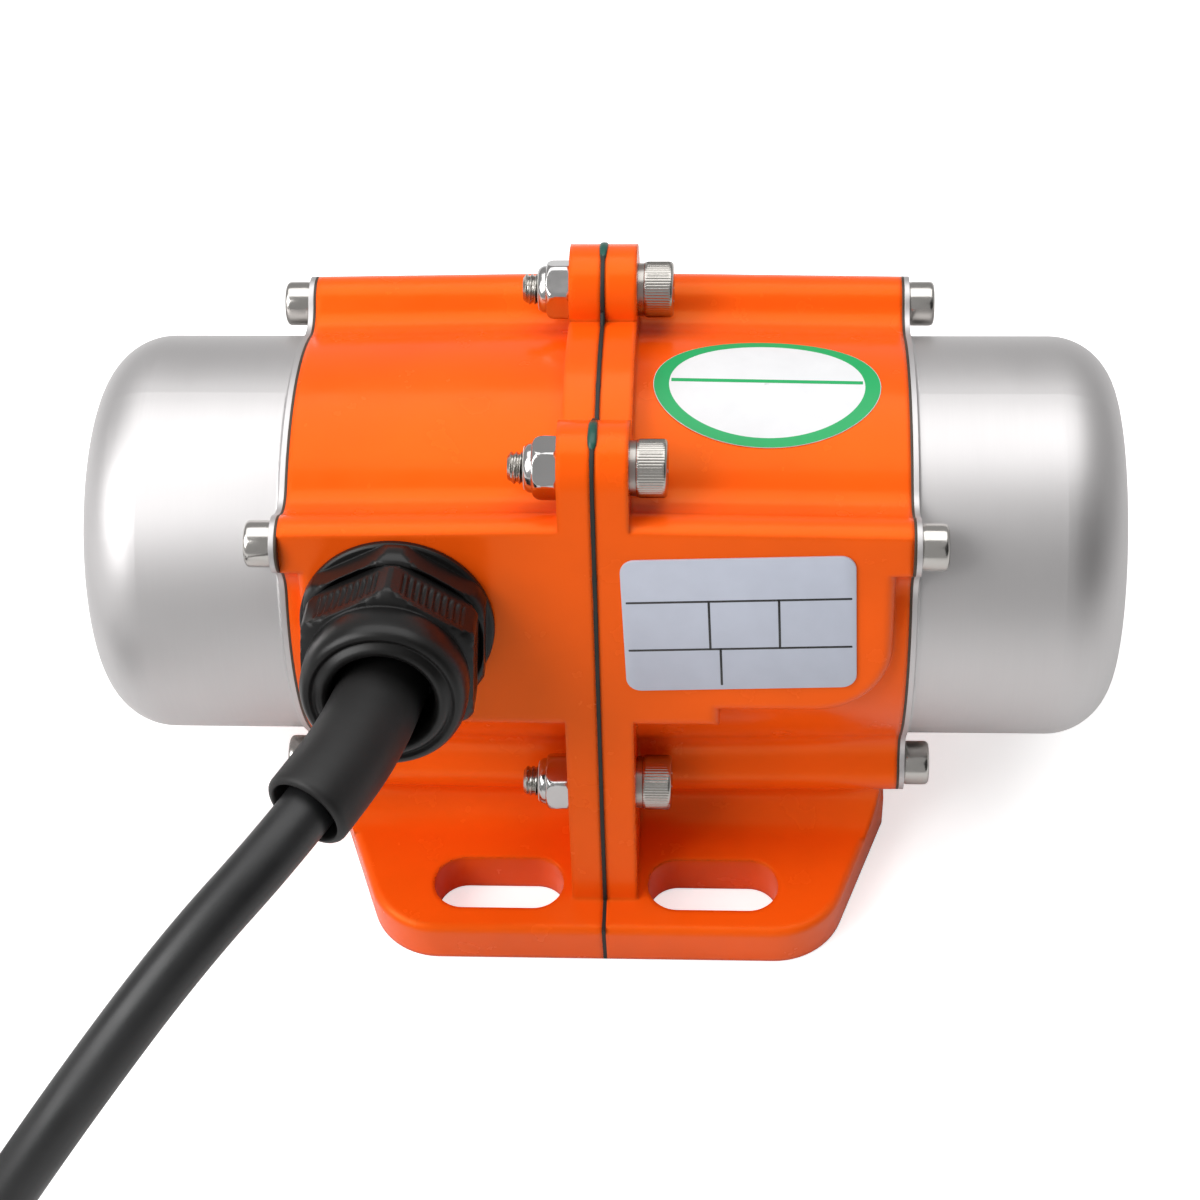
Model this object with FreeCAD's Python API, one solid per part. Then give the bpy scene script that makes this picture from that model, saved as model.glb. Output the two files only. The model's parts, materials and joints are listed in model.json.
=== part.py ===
"""Vibration motor: a lobed two-part aluminium housing on a slotted foot, with an induction motor
inside and unbalance weights under a drawn cap at each end.

Lengths are in millimetres. X runs along the motor shaft, -Y is the side of the cable gland, +Z is up.
The origin is the middle of the foot's underside, in the joint plane between the housing halves.
Each function builds one sub-part; main() writes one STEP file for each.
"""
import FreeCAD
import Part
import math
import os
from FreeCAD import Vector

# Housing halves
axis_height = 45.0
housing_end = 46.3
barrel_end_radius = 32.3
barrel_root_radius = 33.2
screw_lobe_radius = 36.6
screw_lobe_angle = 45.0
lobe_end_radius = 4.3
lobe_root_radius = 4.9
lobe_blend_radius = 5.0
stator_bore_radius = 28.0
cavity_radius = 26.5
end_wall_inner_face = 36.0
end_recess_depth = 4.0
end_recess_radius = 28.6
bearing_hub_radius = 18.0
bearing_hub_start = 30.0
bearing_stop = 40.0
shaft_opening_radius = 9.5

# Bolting flange in the joint plane
joint_gasket_thickness = 0.6
joint_gasket_proud = 0.25
flange_thickness = 4.9
bolt_circle_radius = 40.0
upper_bolt_angle = 61.5
lower_bolt_angle = 30.5
flange_lobe_radius = 7.0
flange_valley_radius = 37.0
flange_toe_setback = 6.1

# Boss for the cable gland and the rating plate
boss_end = 44.0
boss_top = 18.0
boss_bottom = -13.0
boss_step_bottom = -10.0
boss_step_start = 18.3
boss_corner_radius = 11.5
boss_edge_round = 1.6
boss_depth = 14.0

# Foot
foot_width = 103.0
foot_thickness = 8.0
foot_front_half_length = 34.9
foot_side_half_length = 45.0
foot_side_half_width = 24.0
foot_corner_radius = 11.5
foot_edge_round = 1.2
slot_pitch_x = 34.4
slot_pitch_y = 85.0
slot_width = 9.6
slot_length = 20.9
web_half_width = 27.0
web_half_length = 44.5
web_blend_radius = 6.0

# End caps
cap_radius = 31.5
cap_length = 32.7
cap_sheet = 0.8
cap_corner_radius = 10.0
cap_gasket_thickness = 0.4
cap_bend_radius = 0.5

# Screws and nuts
thread_clearance = 0.05
cap_screw_diameter = 4.0
cap_screw_length = 12.0
cap_screw_head_diameter = 7.0
cap_screw_head_height = 4.0
cap_screw_socket = 3.0
flange_screw_diameter = 5.0
flange_screw_length = 18.0
flange_screw_head_diameter = 8.6
flange_screw_head_height = 4.5
flange_screw_socket = 4.0
bolt_hole_clearance = 0.25
socket_depth_share = 0.5
spring_washer_thickness = 1.0
spring_washer_width = 1.5
spring_washer_gap = 0.8
nut_across_flats = 8.0
nut_height = 5.0
nut_collar_height = 1.2
nut_collar_radius = 3.7
nut_insert_radius = 3.2
nut_insert_thickness = 1.0

# Ball bearings
bearing_bore = 10.0
bearing_outside = 30.0
bearing_width = 9.0
bearing_pitch_radius = 10.0
inner_ring_shoulder = 8.5
outer_ring_shoulder = 11.6
ball_diameter = 4.76
ball_count = 8
ball_clearance = 0.03
cage_width = 6.0
cage_thickness = 1.0
cage_clearance = 0.08
shield_thickness = 0.3
shield_seat_radius = 12.2
shield_seat_depth = 0.5
shield_gap = 0.15
wave_washer_thickness = 0.3
wave_washer_width = 2.2
wave_washer_space = 0.9
wave_count = 3

# Motor
core_length = 30.0
stator_slot_count = 12
stator_inner_radius = 14.3
slot_mouth_width = 2.0
slot_root_radius = 16.0
slot_floor_radius = 22.5
slot_half_angle = 9.5
slot_liner = 0.3
winding_overhang = 10.0
winding_outer_radius = 25.0
winding_inner_radius = 15.6
winding_round = 2.5
air_gap = 0.3
rotor_bar_count = 14
rotor_bar_radius = 1.2
rotor_bar_circle = 11.8
cage_ring_length = 4.0
cage_ring_inner_radius = 9.5

# Shaft and weights
shaft_core_radius = 7.0
shaft_end = 69.5
shaft_chamfer = 0.5
seat_clearance = 0.02
spacer_radius = 7.2
weight_start = 44.4
weight_thickness = 11.0
weight_gap = 0.3
weight_radius = 27.0
weight_hub_radius = 9.5
weight_flat_drop = 1.0
key_width = 3.0
key_height = 3.0
key_seat_depth = 1.8
key_clearance = 0.05
clamp_split = 1.4
clamp_lug_half_width = 7.5
clamp_lug_height = 15.5
clamp_screw_diameter = 4.0
clamp_screw_height = 11.0
clamp_screw_length = 12.0
ring_thickness = 1.0
ring_depth = 0.5
ring_width = 1.9
ring_mouth = 5.0

# Cable gland, along its own axis from the boss face
gland_x = -29.3
gland_rise = 5.2
gland_washer_thickness = 1.0
gland_washer_radius = 13.4
gland_thread_radius = 10.0
gland_hole_break = 5.0
gland_nipple_length = 7.5
gland_base_radius = 14.2
gland_base_thickness = 2.2
gland_body_length = 11.5
gland_neck_radius = 9.6
gland_bore_radius = 5.0
gland_seat_radius = 8.2
gland_seat_depth = 5.0
gland_across_flats = 25.0
gland_hex_length = 8.0
gland_chamfer = 1.6
gland_dome_length = 6.5
gland_dome_radius = 11.9
gland_dome_round = 3.2
gland_mouth_radius = 7.4
gland_rib_count = 9
gland_rib_depth = 0.45
gland_seal_clearance = 0.2

# Cable
cord_diameter = 7.8
sleeve_diameter = 12.8
sleeve_clearance = 0.1
arc_share = 0.45
lead_diameter = 2.2
lead_bend_radius = 2.2
lead_spread = 1.5
cord_start = 2.1
cord_straight = 21.0
coil_radius = 39.5
coil_band = 17.6
coil_height = 16.0
coil_x = -143.0
coil_y = -110.0
tail_inset = 4.3
tail_length = 116.0
core_end_length = 22.0
core_end_diameter = 2.2

cord_corners = [
    Vector(-39.8, -77.2, 68.4),
    Vector(-52.8, -92.2, 62.8),
    Vector(-68.5, -107.8, 48.5),
    Vector(-83.5, -119.5, 30.0),
    Vector(-97.5, -130.5, 14.5),
    Vector(-113.5, -143.2, 6.7),
    Vector(-132.0, -150.8, 5.4),
]

half_gasket = joint_gasket_thickness / 2
flange_face = half_gasket + flange_thickness
cap_seat = housing_end + cap_gasket_thickness
cap_flange_face = cap_seat + cap_sheet
boss_tilt = (upper_bolt_angle - lower_bolt_angle) / 2
boss_reach = bolt_circle_radius * math.cos(math.radians(upper_bolt_angle - boss_tilt))
boss_face = boss_reach + flange_lobe_radius
left_bearing_start = bearing_stop - bearing_width
right_bearing_start = left_bearing_start - wave_washer_space
adjustable_start = weight_start + weight_thickness + weight_gap
ring_start = adjustable_start + weight_thickness + weight_gap
rotor_radius = stator_inner_radius - air_gap


def turn(angle, radius=1.0):
    """Vector from the motor axis in the YZ plane; angle 0 points to the front, 90 up."""
    return Vector(0, -radius * math.cos(math.radians(angle)), radius * math.sin(math.radians(angle)))


def on_axis(x, offset=Vector(0, 0, 0)):
    """Point at x along the motor axis, moved by offset."""
    return Vector(x, 0, axis_height) + offset


def rod(radius, start, end, offset=Vector(0, 0, 0)):
    """Cylinder along X from start to end, its centre line moved from the motor axis by offset."""
    return Part.makeCylinder(radius, end - start, on_axis(start, offset), Vector(1, 0, 0))


def tube(outer, inner, start, end, offset=Vector(0, 0, 0)):
    """Ring along X with the given outer and inner radius."""
    return rod(outer, start, end, offset).cut(rod(inner, start - 1, end + 1, offset))


def revolved(profile):
    """Solid turned about the motor axis from (x, radius) corners."""
    corners = [on_axis(x, Vector(0, 0, radius)) for x, radius in profile]
    face = Part.Face(Part.makePolygon(corners + corners[:1]))
    return face.revolve(on_axis(0), Vector(1, 0, 0), 360)


def block(x0, x1, y0, y1, z0, z1):
    """Box between two corners."""
    return Part.makeBox(x1 - x0, y1 - y0, z1 - z0, Vector(x0, y0, z0))


def mirrored(shape):
    """The shape for the left end, from the one for the right end."""
    return shape.mirror(Vector(0, 0, 0), Vector(1, 0, 0))


def for_side(shape, side):
    """The shape as built for the right end (side 1), or its mirror for the left end (side -1)."""
    return shape if side > 0 else mirrored(shape)


def hexagon(across_flats, height):
    """Hexagonal prism on the XY plane with a corner on +Y."""
    radius = across_flats / math.sqrt(3)
    corners = [Vector(radius * math.cos(math.radians(60 * i + 30)),
                      radius * math.sin(math.radians(60 * i + 30)), 0) for i in range(7)]
    return Part.Face(Part.makePolygon(corners)).extrude(Vector(0, 0, height))


def along_x(shape, x, offset=Vector(0, 0, 0), direction=1):
    """Moves a shape built on +Z so that it points along X from the given point."""
    moved = shape.copy()
    spin = FreeCAD.Rotation(Vector(0, 0, 1), Vector(direction, 0, 0))
    moved.Placement = FreeCAD.Placement(on_axis(x, offset), spin)
    return moved


def arc(centre, radius, start, end, x):
    """Arc edge at x about a centre in the YZ plane, from one angle to another."""
    points = [on_axis(x, centre + turn(angle, radius)) for angle in (start, (start + end) / 2, end)]
    return Part.Arc(*points).toShape()


def rounded(shape, radius, wanted):
    """The shape with a fillet on each edge for which wanted(edge) is true."""
    return shape.makeFillet(radius, [edge for edge in shape.Edges if wanted(edge)])


# Outlines

def lobed_outline(x, barrel, lobe):
    """Body outline at x: a round barrel with a blended lobe for each cap screw."""
    reach = barrel + lobe_blend_radius
    gap = lobe + lobe_blend_radius
    cosine = (screw_lobe_radius ** 2 + reach ** 2 - gap ** 2) / (2 * screw_lobe_radius * reach)
    swing = math.degrees(math.acos(cosine))
    rise = reach * math.sin(math.radians(swing))
    wrap = math.degrees(math.atan2(rise, reach * cosine - screw_lobe_radius))
    edges = []
    for quarter in range(4):
        middle = screw_lobe_angle + 90 * quarter
        lobe_centre = turn(middle, screw_lobe_radius)
        before = turn(middle - swing, reach)
        after = turn(middle + swing, reach)
        edges.append(arc(before, lobe_blend_radius, middle - swing + 180, middle - wrap + 180, x))
        edges.append(arc(lobe_centre, lobe, middle - wrap, middle + wrap, x))
        edges.append(arc(after, lobe_blend_radius, middle + wrap - 180, middle + swing - 180, x))
        edges.append(arc(Vector(0, 0, 0), barrel, middle + swing, middle + 90 - swing, x))
    return Part.Wire(edges)


def lobed_plate(start, end):
    """Flat plate with the outline of the body's end face."""
    face = Part.Face(lobed_outline(start, barrel_end_radius, lobe_end_radius))
    return face.extrude(Vector(end - start, 0, 0))


def bolt_offsets():
    """Places of the four joint bolts, as offsets from the motor axis."""
    angles = (upper_bolt_angle, 180 - upper_bolt_angle, -lower_bolt_angle, 180 + lower_bolt_angle)
    return [turn(angle, bolt_circle_radius) for angle in angles]


def screw_offsets():
    """Places of the four cap screws at one end, as offsets from the motor axis."""
    return [turn(screw_lobe_angle + 90 * quarter, screw_lobe_radius) for quarter in range(4)]


def flat_prism(corners, mirror, start, end):
    """Prism along X over corners given as offsets from the motor axis, on the front (mirror 1) or
    the back (mirror -1)."""
    points = [on_axis(start, Vector(0, mirror * v.y, v.z)) for v in corners]
    return Part.Face(Part.makePolygon(points + points[:1])).extrude(Vector(end - start, 0, 0))


def flange_plate(start, end, grow=0.0):
    """Bolting flange from start to end, larger all round by grow: an arc over the top, a lobe at
    each bolt, a straight front and back, and a rib that runs down into the foot on each side."""
    lobe = flange_lobe_radius + grow
    top = turn(upper_bolt_angle, bolt_circle_radius)
    low = turn(-lower_bolt_angle, bolt_circle_radius)
    plate = rod(flange_valley_radius + grow, start, end)
    beyond = [top + turn(boss_tilt, lobe), low + turn(boss_tilt, lobe),
              low + turn(boss_tilt, 2 * lobe), top + turn(boss_tilt, 2 * lobe)]
    for mirror in (1, -1):
        plate = plate.cut(flat_prism(beyond, mirror, start - 1, end + 1))
    for offset in bolt_offsets():
        plate = plate.fuse(rod(lobe, start, end, offset))
    toe = Vector(0, flange_toe_setback - foot_width / 2 - grow, foot_thickness - axis_height)
    span = toe - low
    lean = math.degrees(math.atan2(span.z, -span.y) + math.acos(lobe / span.Length))
    rib_top = low + turn(lean, lobe)
    slope = (toe.y - rib_top.y) / (toe.z - rib_top.z)
    rib_end = Vector(0, toe.y - slope * foot_thickness, -axis_height)
    corners = [Vector(0, 0, 0), top, top + turn(boss_tilt, lobe), low + turn(boss_tilt, lobe),
               rib_top, rib_end, Vector(0, 0, -axis_height)]
    for mirror in (1, -1):
        plate = plate.fuse(flat_prism(corners, mirror, start, end))
    return plate.removeSplitter()


# Housing

def foot_corners():
    """Corners of the foot's right half seen from above, before they are rounded."""
    half = foot_width / 2
    return [Vector(half_gasket, -half, 0), Vector(foot_front_half_length, -half, 0),
            Vector(foot_side_half_length, -foot_side_half_width, 0),
            Vector(foot_side_half_length, foot_side_half_width, 0),
            Vector(foot_front_half_length, half, 0), Vector(half_gasket, half, 0)]


def foot_prism(height):
    """Right half of the foot's outline, carried up to the given height."""
    corners = foot_corners()
    face = Part.Face(Part.makePolygon(corners + corners[:1]))
    return face.extrude(Vector(0, 0, height))


def foot_plate():
    """Right half of the foot plate: wide beside the body, narrower towards the front and back."""
    plate = foot_prism(foot_thickness)
    plate = rounded(plate, foot_corner_radius, lambda edge: edge.BoundBox.ZLength > 1
                    and abs(edge.CenterOfMass.x - foot_front_half_length) < 0.01)
    return rounded(plate, foot_edge_round, lambda edge: edge.BoundBox.ZLength < 0.01
                   and edge.CenterOfMass.z > foot_thickness - 0.01
                   and edge.BoundBox.XMax > half_gasket + 0.01)


def foot_web():
    """Web that carries the body on the foot, with a hollow blend into the foot on both sides."""
    outer = web_half_width + web_blend_radius
    top = axis_height - screw_lobe_radius * math.sin(math.radians(screw_lobe_angle))
    blend_top = foot_thickness + web_blend_radius
    bend = web_blend_radius * (1 - math.sqrt(0.5))
    edges = []
    for side in (1, -1):
        toe = Vector(half_gasket, side * outer, foot_thickness)
        middle = Vector(half_gasket, side * (web_half_width + bend), foot_thickness + bend)
        shoulder = Vector(half_gasket, side * web_half_width, blend_top)
        crest = Vector(half_gasket, side * web_half_width, top)
        run = [Part.LineSegment(Vector(half_gasket, side * outer, 1), toe).toShape(),
               Part.Arc(toe, middle, shoulder).toShape(),
               Part.LineSegment(shoulder, crest).toShape()]
        edges += run if side > 0 else run[::-1]
        if side > 0:
            across = Vector(half_gasket, -web_half_width, top)
            edges.append(Part.LineSegment(crest, across).toShape())
    edges.append(Part.LineSegment(Vector(half_gasket, -outer, 1),
                                  Vector(half_gasket, outer, 1)).toShape())
    face = Part.Face(Part.Wire(Part.__sortEdges__(edges)))
    web = face.extrude(Vector(web_half_length - half_gasket, 0, 0))
    return web.common(foot_prism(axis_height))


def boss_point(x, rise, out):
    """Point beside the boss: rise along its face from the axis level, out from the motor axis."""
    along = Vector(0, math.sin(math.radians(boss_tilt)), math.cos(math.radians(boss_tilt)))
    return on_axis(x, turn(boss_tilt, out) + along * rise)


def boss_prism(corners, start, end):
    """Prism on (x, rise) corners, from one distance to another from the motor axis."""
    points = [boss_point(x, rise, start) for x, rise in corners]
    face = Part.Face(Part.makePolygon(points + points[:1]))
    return face.extrude(turn(boss_tilt, end - start))


def boss(stepped):
    """Flat-faced boss for the gland or the rating plate, flush with the flange's edge."""
    low = boss_step_bottom if stepped else boss_bottom
    corners = [(half_gasket, boss_top), (boss_end, boss_top), (boss_end, low)]
    if stepped:
        corners += [(boss_step_start, low), (boss_step_start, boss_bottom)]
    corners.append((half_gasket, boss_bottom))
    pad = boss_prism(corners, boss_face - boss_depth, boss_face)
    outward = turn(boss_tilt)
    corner = boss_point(boss_end, low, boss_face - boss_depth / 2)
    pad = rounded(pad, boss_corner_radius, lambda edge: (edge.CenterOfMass - corner).Length < 0.01)
    face_centre = boss_point(boss_end, boss_top, boss_face)

    def on_face(edge):
        level = (edge.CenterOfMass - face_centre).dot(outward)
        inside = edge.BoundBox.XMax > half_gasket + 0.01
        below = (edge.CenterOfMass - face_centre).dot(Vector(0, 0, 1)) < -0.01
        return abs(level) < 0.01 and inside and below

    return rounded(pad, boss_edge_round, on_face)


def housing_casting(stepped):
    """Outer form of one housing half, as for the right end."""
    barrel = Part.makeLoft([lobed_outline(half_gasket, barrel_root_radius, lobe_root_radius),
                            lobed_outline(housing_end, barrel_end_radius, lobe_end_radius)],
                           True, True)
    casting = barrel.fuse([foot_plate(), foot_web(), boss(stepped)])
    face_cut = boss_prism([(0, boss_bottom), (housing_end + 1, boss_bottom),
                           (housing_end + 1, boss_top + 2 * lobe_root_radius),
                           (0, boss_top + 2 * lobe_root_radius)], boss_face, boss_face + 10)
    return casting.cut(face_cut).fuse(flange_plate(half_gasket, flange_face))


def housing_cavity():
    """Inside of one housing half: stator bore, winding space, bearing pocket and end recess."""
    stop = core_length / 2
    wall_face = housing_end - end_recess_depth
    return revolved([(-1, 0), (-1, stator_bore_radius), (stop, stator_bore_radius),
                     (stop, cavity_radius), (end_wall_inner_face, cavity_radius),
                     (end_wall_inner_face, bearing_hub_radius),
                     (bearing_hub_start, bearing_hub_radius),
                     (bearing_hub_start, bearing_outside / 2), (bearing_stop, bearing_outside / 2),
                     (bearing_stop, shaft_opening_radius), (wall_face, shaft_opening_radius),
                     (wall_face, end_recess_radius), (housing_end + 1, end_recess_radius),
                     (housing_end + 1, 0)])


def foot_slot(x, y):
    """Cutter for one mounting slot, its length along X."""
    reach = (slot_length - slot_width) / 2
    centre = Vector(x, y, -1)
    height = foot_thickness + web_blend_radius
    cutter = Part.makeBox(2 * reach, slot_width, height, centre - Vector(reach, slot_width / 2, 0))
    for end in (-1, 1):
        cutter = cutter.fuse(Part.makeCylinder(slot_width / 2, height,
                                               centre + Vector(end * reach, 0, 0)))
    return cutter


def housing(side):
    """One housing half: side 1 is the right one, with the rating plate's boss; side -1 is the left
    one, with the gland's threaded hole."""
    casting = housing_casting(stepped=side > 0)
    cutters = [housing_cavity()]
    for offset in screw_offsets():
        cutters.append(rod(cap_screw_diameter / 2 + thread_clearance,
                           housing_end - cap_screw_length, housing_end + 1, offset))
    for offset in bolt_offsets():
        cutters.append(rod(flange_screw_diameter / 2 + bolt_hole_clearance,
                           0, flange_face + 1, offset))
    for y in (-slot_pitch_y / 2, slot_pitch_y / 2):
        cutters.append(foot_slot(slot_pitch_x / 2, y))
    half = for_side(casting.cut(cutters), side)
    if side < 0:
        hole = Part.makeCylinder(gland_thread_radius + thread_clearance,
                                 boss_face + 1 - cavity_radius + gland_hole_break)
        half = half.cut(on_gland(hole, cavity_radius - gland_hole_break - boss_face))
    return half.removeSplitter()


def joint_gasket():
    """Paper gasket between the housing halves, a little proud of them all round."""
    gasket = flange_plate(-half_gasket, half_gasket, joint_gasket_proud)
    half = foot_width / 2
    foot_part = block(-half_gasket, half_gasket, -half, half, 0, foot_thickness)
    gasket = gasket.fuse(foot_part).cut(rod(stator_bore_radius, -1, 1))
    for offset in bolt_offsets():
        gasket = gasket.cut(rod(flange_screw_diameter / 2 + bolt_hole_clearance, -1, 1, offset))
    return gasket.removeSplitter()


# End caps

def cap_gasket():
    """Gasket between a housing half and its cap."""
    return with_screw_holes(lobed_plate(housing_end, cap_seat).cut(
        rod(end_recess_radius, housing_end - 1, cap_seat + 1)))


def with_screw_holes(plate):
    """The plate with a clearance hole for each cap screw."""
    for offset in screw_offsets():
        radius = cap_screw_diameter / 2 + bolt_hole_clearance
        plate = plate.cut(rod(radius, housing_end - 1, cap_flange_face + 1, offset))
    return plate


def cap_profile(radius, end, corner):
    """Side view of a cup of the given radius that ends at end with a rounded corner."""
    start = on_axis(cap_seat, Vector(0, 0, radius))
    bend_start = on_axis(end - corner, Vector(0, 0, radius))
    bend_end = on_axis(end, Vector(0, 0, radius - corner))
    middle = on_axis(end - corner * (1 - math.sqrt(0.5)),
                     Vector(0, 0, radius - corner * (1 - math.sqrt(0.5))))
    edges = [Part.LineSegment(on_axis(cap_seat), start).toShape(),
             Part.LineSegment(start, bend_start).toShape(),
             Part.Arc(bend_start, middle, bend_end).toShape(),
             Part.LineSegment(bend_end, on_axis(end)).toShape(),
             Part.LineSegment(on_axis(end), on_axis(cap_seat)).toShape()]
    return Part.Face(Part.Wire(edges)).revolve(on_axis(0), Vector(1, 0, 0), 360)


def end_cap():
    """Drawn cap: a round cup with a thin flange that follows the body's outline."""
    end = cap_seat + cap_length
    cup = cap_profile(cap_radius, end, cap_corner_radius)
    cap = cup.fuse(lobed_plate(cap_seat, cap_flange_face))
    cap = rounded(cap, cap_bend_radius, lambda edge: edge.Closed
                  and abs(edge.CenterOfMass.x - cap_flange_face) < 0.01
                  and abs(edge.BoundBox.YLength / 2 - cap_radius) < 0.01)
    hollow = cap_profile(cap_radius - cap_sheet, end - cap_sheet, cap_corner_radius - cap_sheet)
    return with_screw_holes(cap.cut(hollow))


# Fasteners

def socket_screw(diameter, length, head_diameter, head_height, socket):
    """Socket head screw on the Z axis, its head on top of the XY plane."""
    head = Part.makeCylinder(head_diameter / 2, head_height)
    head = rounded(head, head_height * 0.1, lambda edge: edge.Closed
                   and edge.CenterOfMass.z > head_height - 0.01)
    shank = Part.makeCylinder(diameter / 2, length, Vector(0, 0, -length))
    shank = shank.makeChamfer(diameter * 0.08, [edge for edge in shank.Edges if edge.Closed
                                                and edge.CenterOfMass.z < 0.01 - length])
    recess = hexagon(socket, head_height)
    recess.translate(Vector(0, 0, head_height * (1 - socket_depth_share)))
    return head.fuse(shank).cut(recess)


def cap_screws():
    """The four screws of one end cap."""
    screw = socket_screw(cap_screw_diameter, cap_screw_length - thread_clearance,
                         cap_screw_head_diameter, cap_screw_head_height, cap_screw_socket)
    return Part.makeCompound([along_x(screw, cap_flange_face, offset)
                              for offset in screw_offsets()])


def flange_screws():
    """The four screws that hold the housing halves together, heads on the right."""
    screw = socket_screw(flange_screw_diameter, flange_screw_length, flange_screw_head_diameter,
                         flange_screw_head_height, flange_screw_socket)
    seat = flange_face + spring_washer_thickness
    return Part.makeCompound([along_x(screw, seat, offset) for offset in bolt_offsets()])


def spring_washers():
    """Split spring washer under each flange screw's head."""
    inner = flange_screw_diameter / 2 + thread_clearance
    ring = Part.makeCylinder(inner + spring_washer_width, spring_washer_thickness)
    ring = ring.cut(Part.makeCylinder(inner, spring_washer_thickness))
    ring = ring.cut(Part.makeBox(spring_washer_gap, 2 * inner + spring_washer_width,
                                 spring_washer_thickness, Vector(-spring_washer_gap / 2, 0, 0)))
    return Part.makeCompound([along_x(ring, flange_face, offset) for offset in bolt_offsets()])


def lock_nut():
    """Hexagonal lock nut on the XY plane, with a round collar for its insert."""
    hex_height = nut_height - nut_collar_height
    corner_radius = nut_across_flats / math.sqrt(3)
    nut = hexagon(nut_across_flats, hex_height)
    slope = Part.makeCone(corner_radius + hex_height, nut_collar_radius, hex_height
                          + corner_radius - nut_collar_radius)
    nut = nut.common(slope)
    collar = Part.makeCylinder(nut_collar_radius, nut_height)
    collar = rounded(collar, nut_collar_height * 0.6, lambda edge: edge.Closed
                     and edge.CenterOfMass.z > nut_height - 0.01)
    nut = nut.fuse(collar)
    nut = nut.cut(Part.makeCylinder(flange_screw_diameter / 2 + thread_clearance, nut_height))
    seat = Part.makeCylinder(nut_insert_radius, nut_insert_thickness,
                             Vector(0, 0, nut_height - nut_insert_thickness))
    return nut.cut(seat)


def nut_insert():
    """Plastic ring that grips the thread, level with the top of its nut."""
    level = Vector(0, 0, nut_height - nut_insert_thickness)
    ring = Part.makeCylinder(nut_insert_radius, nut_insert_thickness, level)
    hole = Part.makeCylinder(flange_screw_diameter / 2 + thread_clearance, nut_insert_thickness, level)
    return ring.cut(hole)


def at_flange_back(shape):
    """One copy at each bolt on the flange's left face, pointing left."""
    return Part.makeCompound([along_x(shape, -flange_face, offset, -1) for offset in bolt_offsets()])


# Ball bearings: each is built for the right end and starts at x

def ball_groove(x):
    """Groove that the balls run in, a little wider than they are."""
    return Part.makeTorus(bearing_pitch_radius, ball_diameter / 2 + ball_clearance,
                          on_axis(x + bearing_width / 2), Vector(1, 0, 0))


def bearing_outer_ring(x):
    """Outer ring with its groove and the seats of both shields."""
    ring = tube(bearing_outside / 2, outer_ring_shoulder, x, x + bearing_width)
    end = x + bearing_width
    ring = ring.cut(rod(shield_seat_radius, x - 1, x + shield_seat_depth))
    ring = ring.cut(rod(shield_seat_radius, end - shield_seat_depth, end + 1))
    return ring.cut(ball_groove(x))


def bearing_inner_ring(x):
    """Inner ring with its groove."""
    return tube(inner_ring_shoulder, bearing_bore / 2, x, x + bearing_width).cut(ball_groove(x))


def bearing_shields(x):
    """Thin shield on each side of the balls, seated in the outer ring."""
    inner = inner_ring_shoulder + shield_gap
    near = x + shield_seat_depth
    far = x + bearing_width - shield_seat_depth
    return Part.makeCompound([tube(shield_seat_radius, inner, near - shield_thickness, near),
                              tube(shield_seat_radius, inner, far, far + shield_thickness)])


def ball_centres(x):
    """Centres of the balls."""
    return [on_axis(x + bearing_width / 2, turn(360 * i / ball_count, bearing_pitch_radius))
            for i in range(ball_count)]


def bearing_balls(x):
    """The balls."""
    return Part.makeCompound([Part.makeSphere(ball_diameter / 2, centre)
                              for centre in ball_centres(x)])


def ball_cage(x):
    """Cage: a ring with a round hole for each ball."""
    middle = x + bearing_width / 2
    ring = tube(bearing_pitch_radius + cage_thickness / 2, bearing_pitch_radius - cage_thickness / 2,
                middle - cage_width / 2, middle + cage_width / 2)
    for centre in ball_centres(x):
        pocket = Part.makeCylinder(ball_diameter / 2 + cage_clearance, bearing_pitch_radius,
                                   on_axis(middle), centre - on_axis(middle))
        pocket.translate((centre - on_axis(middle)) / 2)
        ring = ring.cut(pocket)
    return ring


def wave_washer():
    """Waved spring ring that pushes the right bearing inwards."""
    swing = (wave_washer_space - wave_washer_thickness) / 2 - seat_clearance
    middle = bearing_stop - wave_washer_space / 2 - wave_washer_thickness / 2
    outer = bearing_outside / 2 - wave_washer_thickness
    rims = []
    for radius in (outer, outer - wave_washer_width):
        steps = 12 * wave_count
        points = [on_axis(middle + swing * math.cos(2 * math.pi * wave_count * i / steps),
                          turn(360 * i / steps, radius)) for i in range(steps)]
        curve = Part.BSplineCurve()
        curve.interpolate(Points=points, PeriodicFlag=True)
        rims.append(curve.toShape())
    return Part.makeRuledSurface(rims[0], rims[1]).extrude(Vector(wave_washer_thickness, 0, 0))


# Motor

def ring_sector(inner, outer, half_angle, start, end, middle):
    """Part of a ring along X, to both sides of the middle angle."""
    edge = turn(middle - half_angle)
    points = [on_axis(start, edge * inner), on_axis(end, edge * inner),
              on_axis(end, edge * outer), on_axis(start, edge * outer)]
    face = Part.Face(Part.makePolygon(points + points[:1]))
    return face.revolve(on_axis(0), Vector(-1, 0, 0), 2 * half_angle)


def stator_core():
    """Laminated ring with a slot for each winding side, open towards the rotor."""
    stop = core_length / 2
    core = tube(stator_bore_radius, stator_inner_radius, -stop, stop)
    for i in range(stator_slot_count):
        middle = 360 * i / stator_slot_count
        slot = ring_sector(slot_root_radius, slot_floor_radius, slot_half_angle,
                           -stop - 1, stop + 1, middle)
        mouth = block(-stop - 1, stop + 1, -slot_mouth_width / 2, slot_mouth_width / 2,
                      axis_height + stator_inner_radius - 1, axis_height + slot_root_radius + 1)
        mouth.rotate(on_axis(0), Vector(-1, 0, 0), middle - 90)
        core = core.cut(slot.fuse(mouth))
    return core


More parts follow.
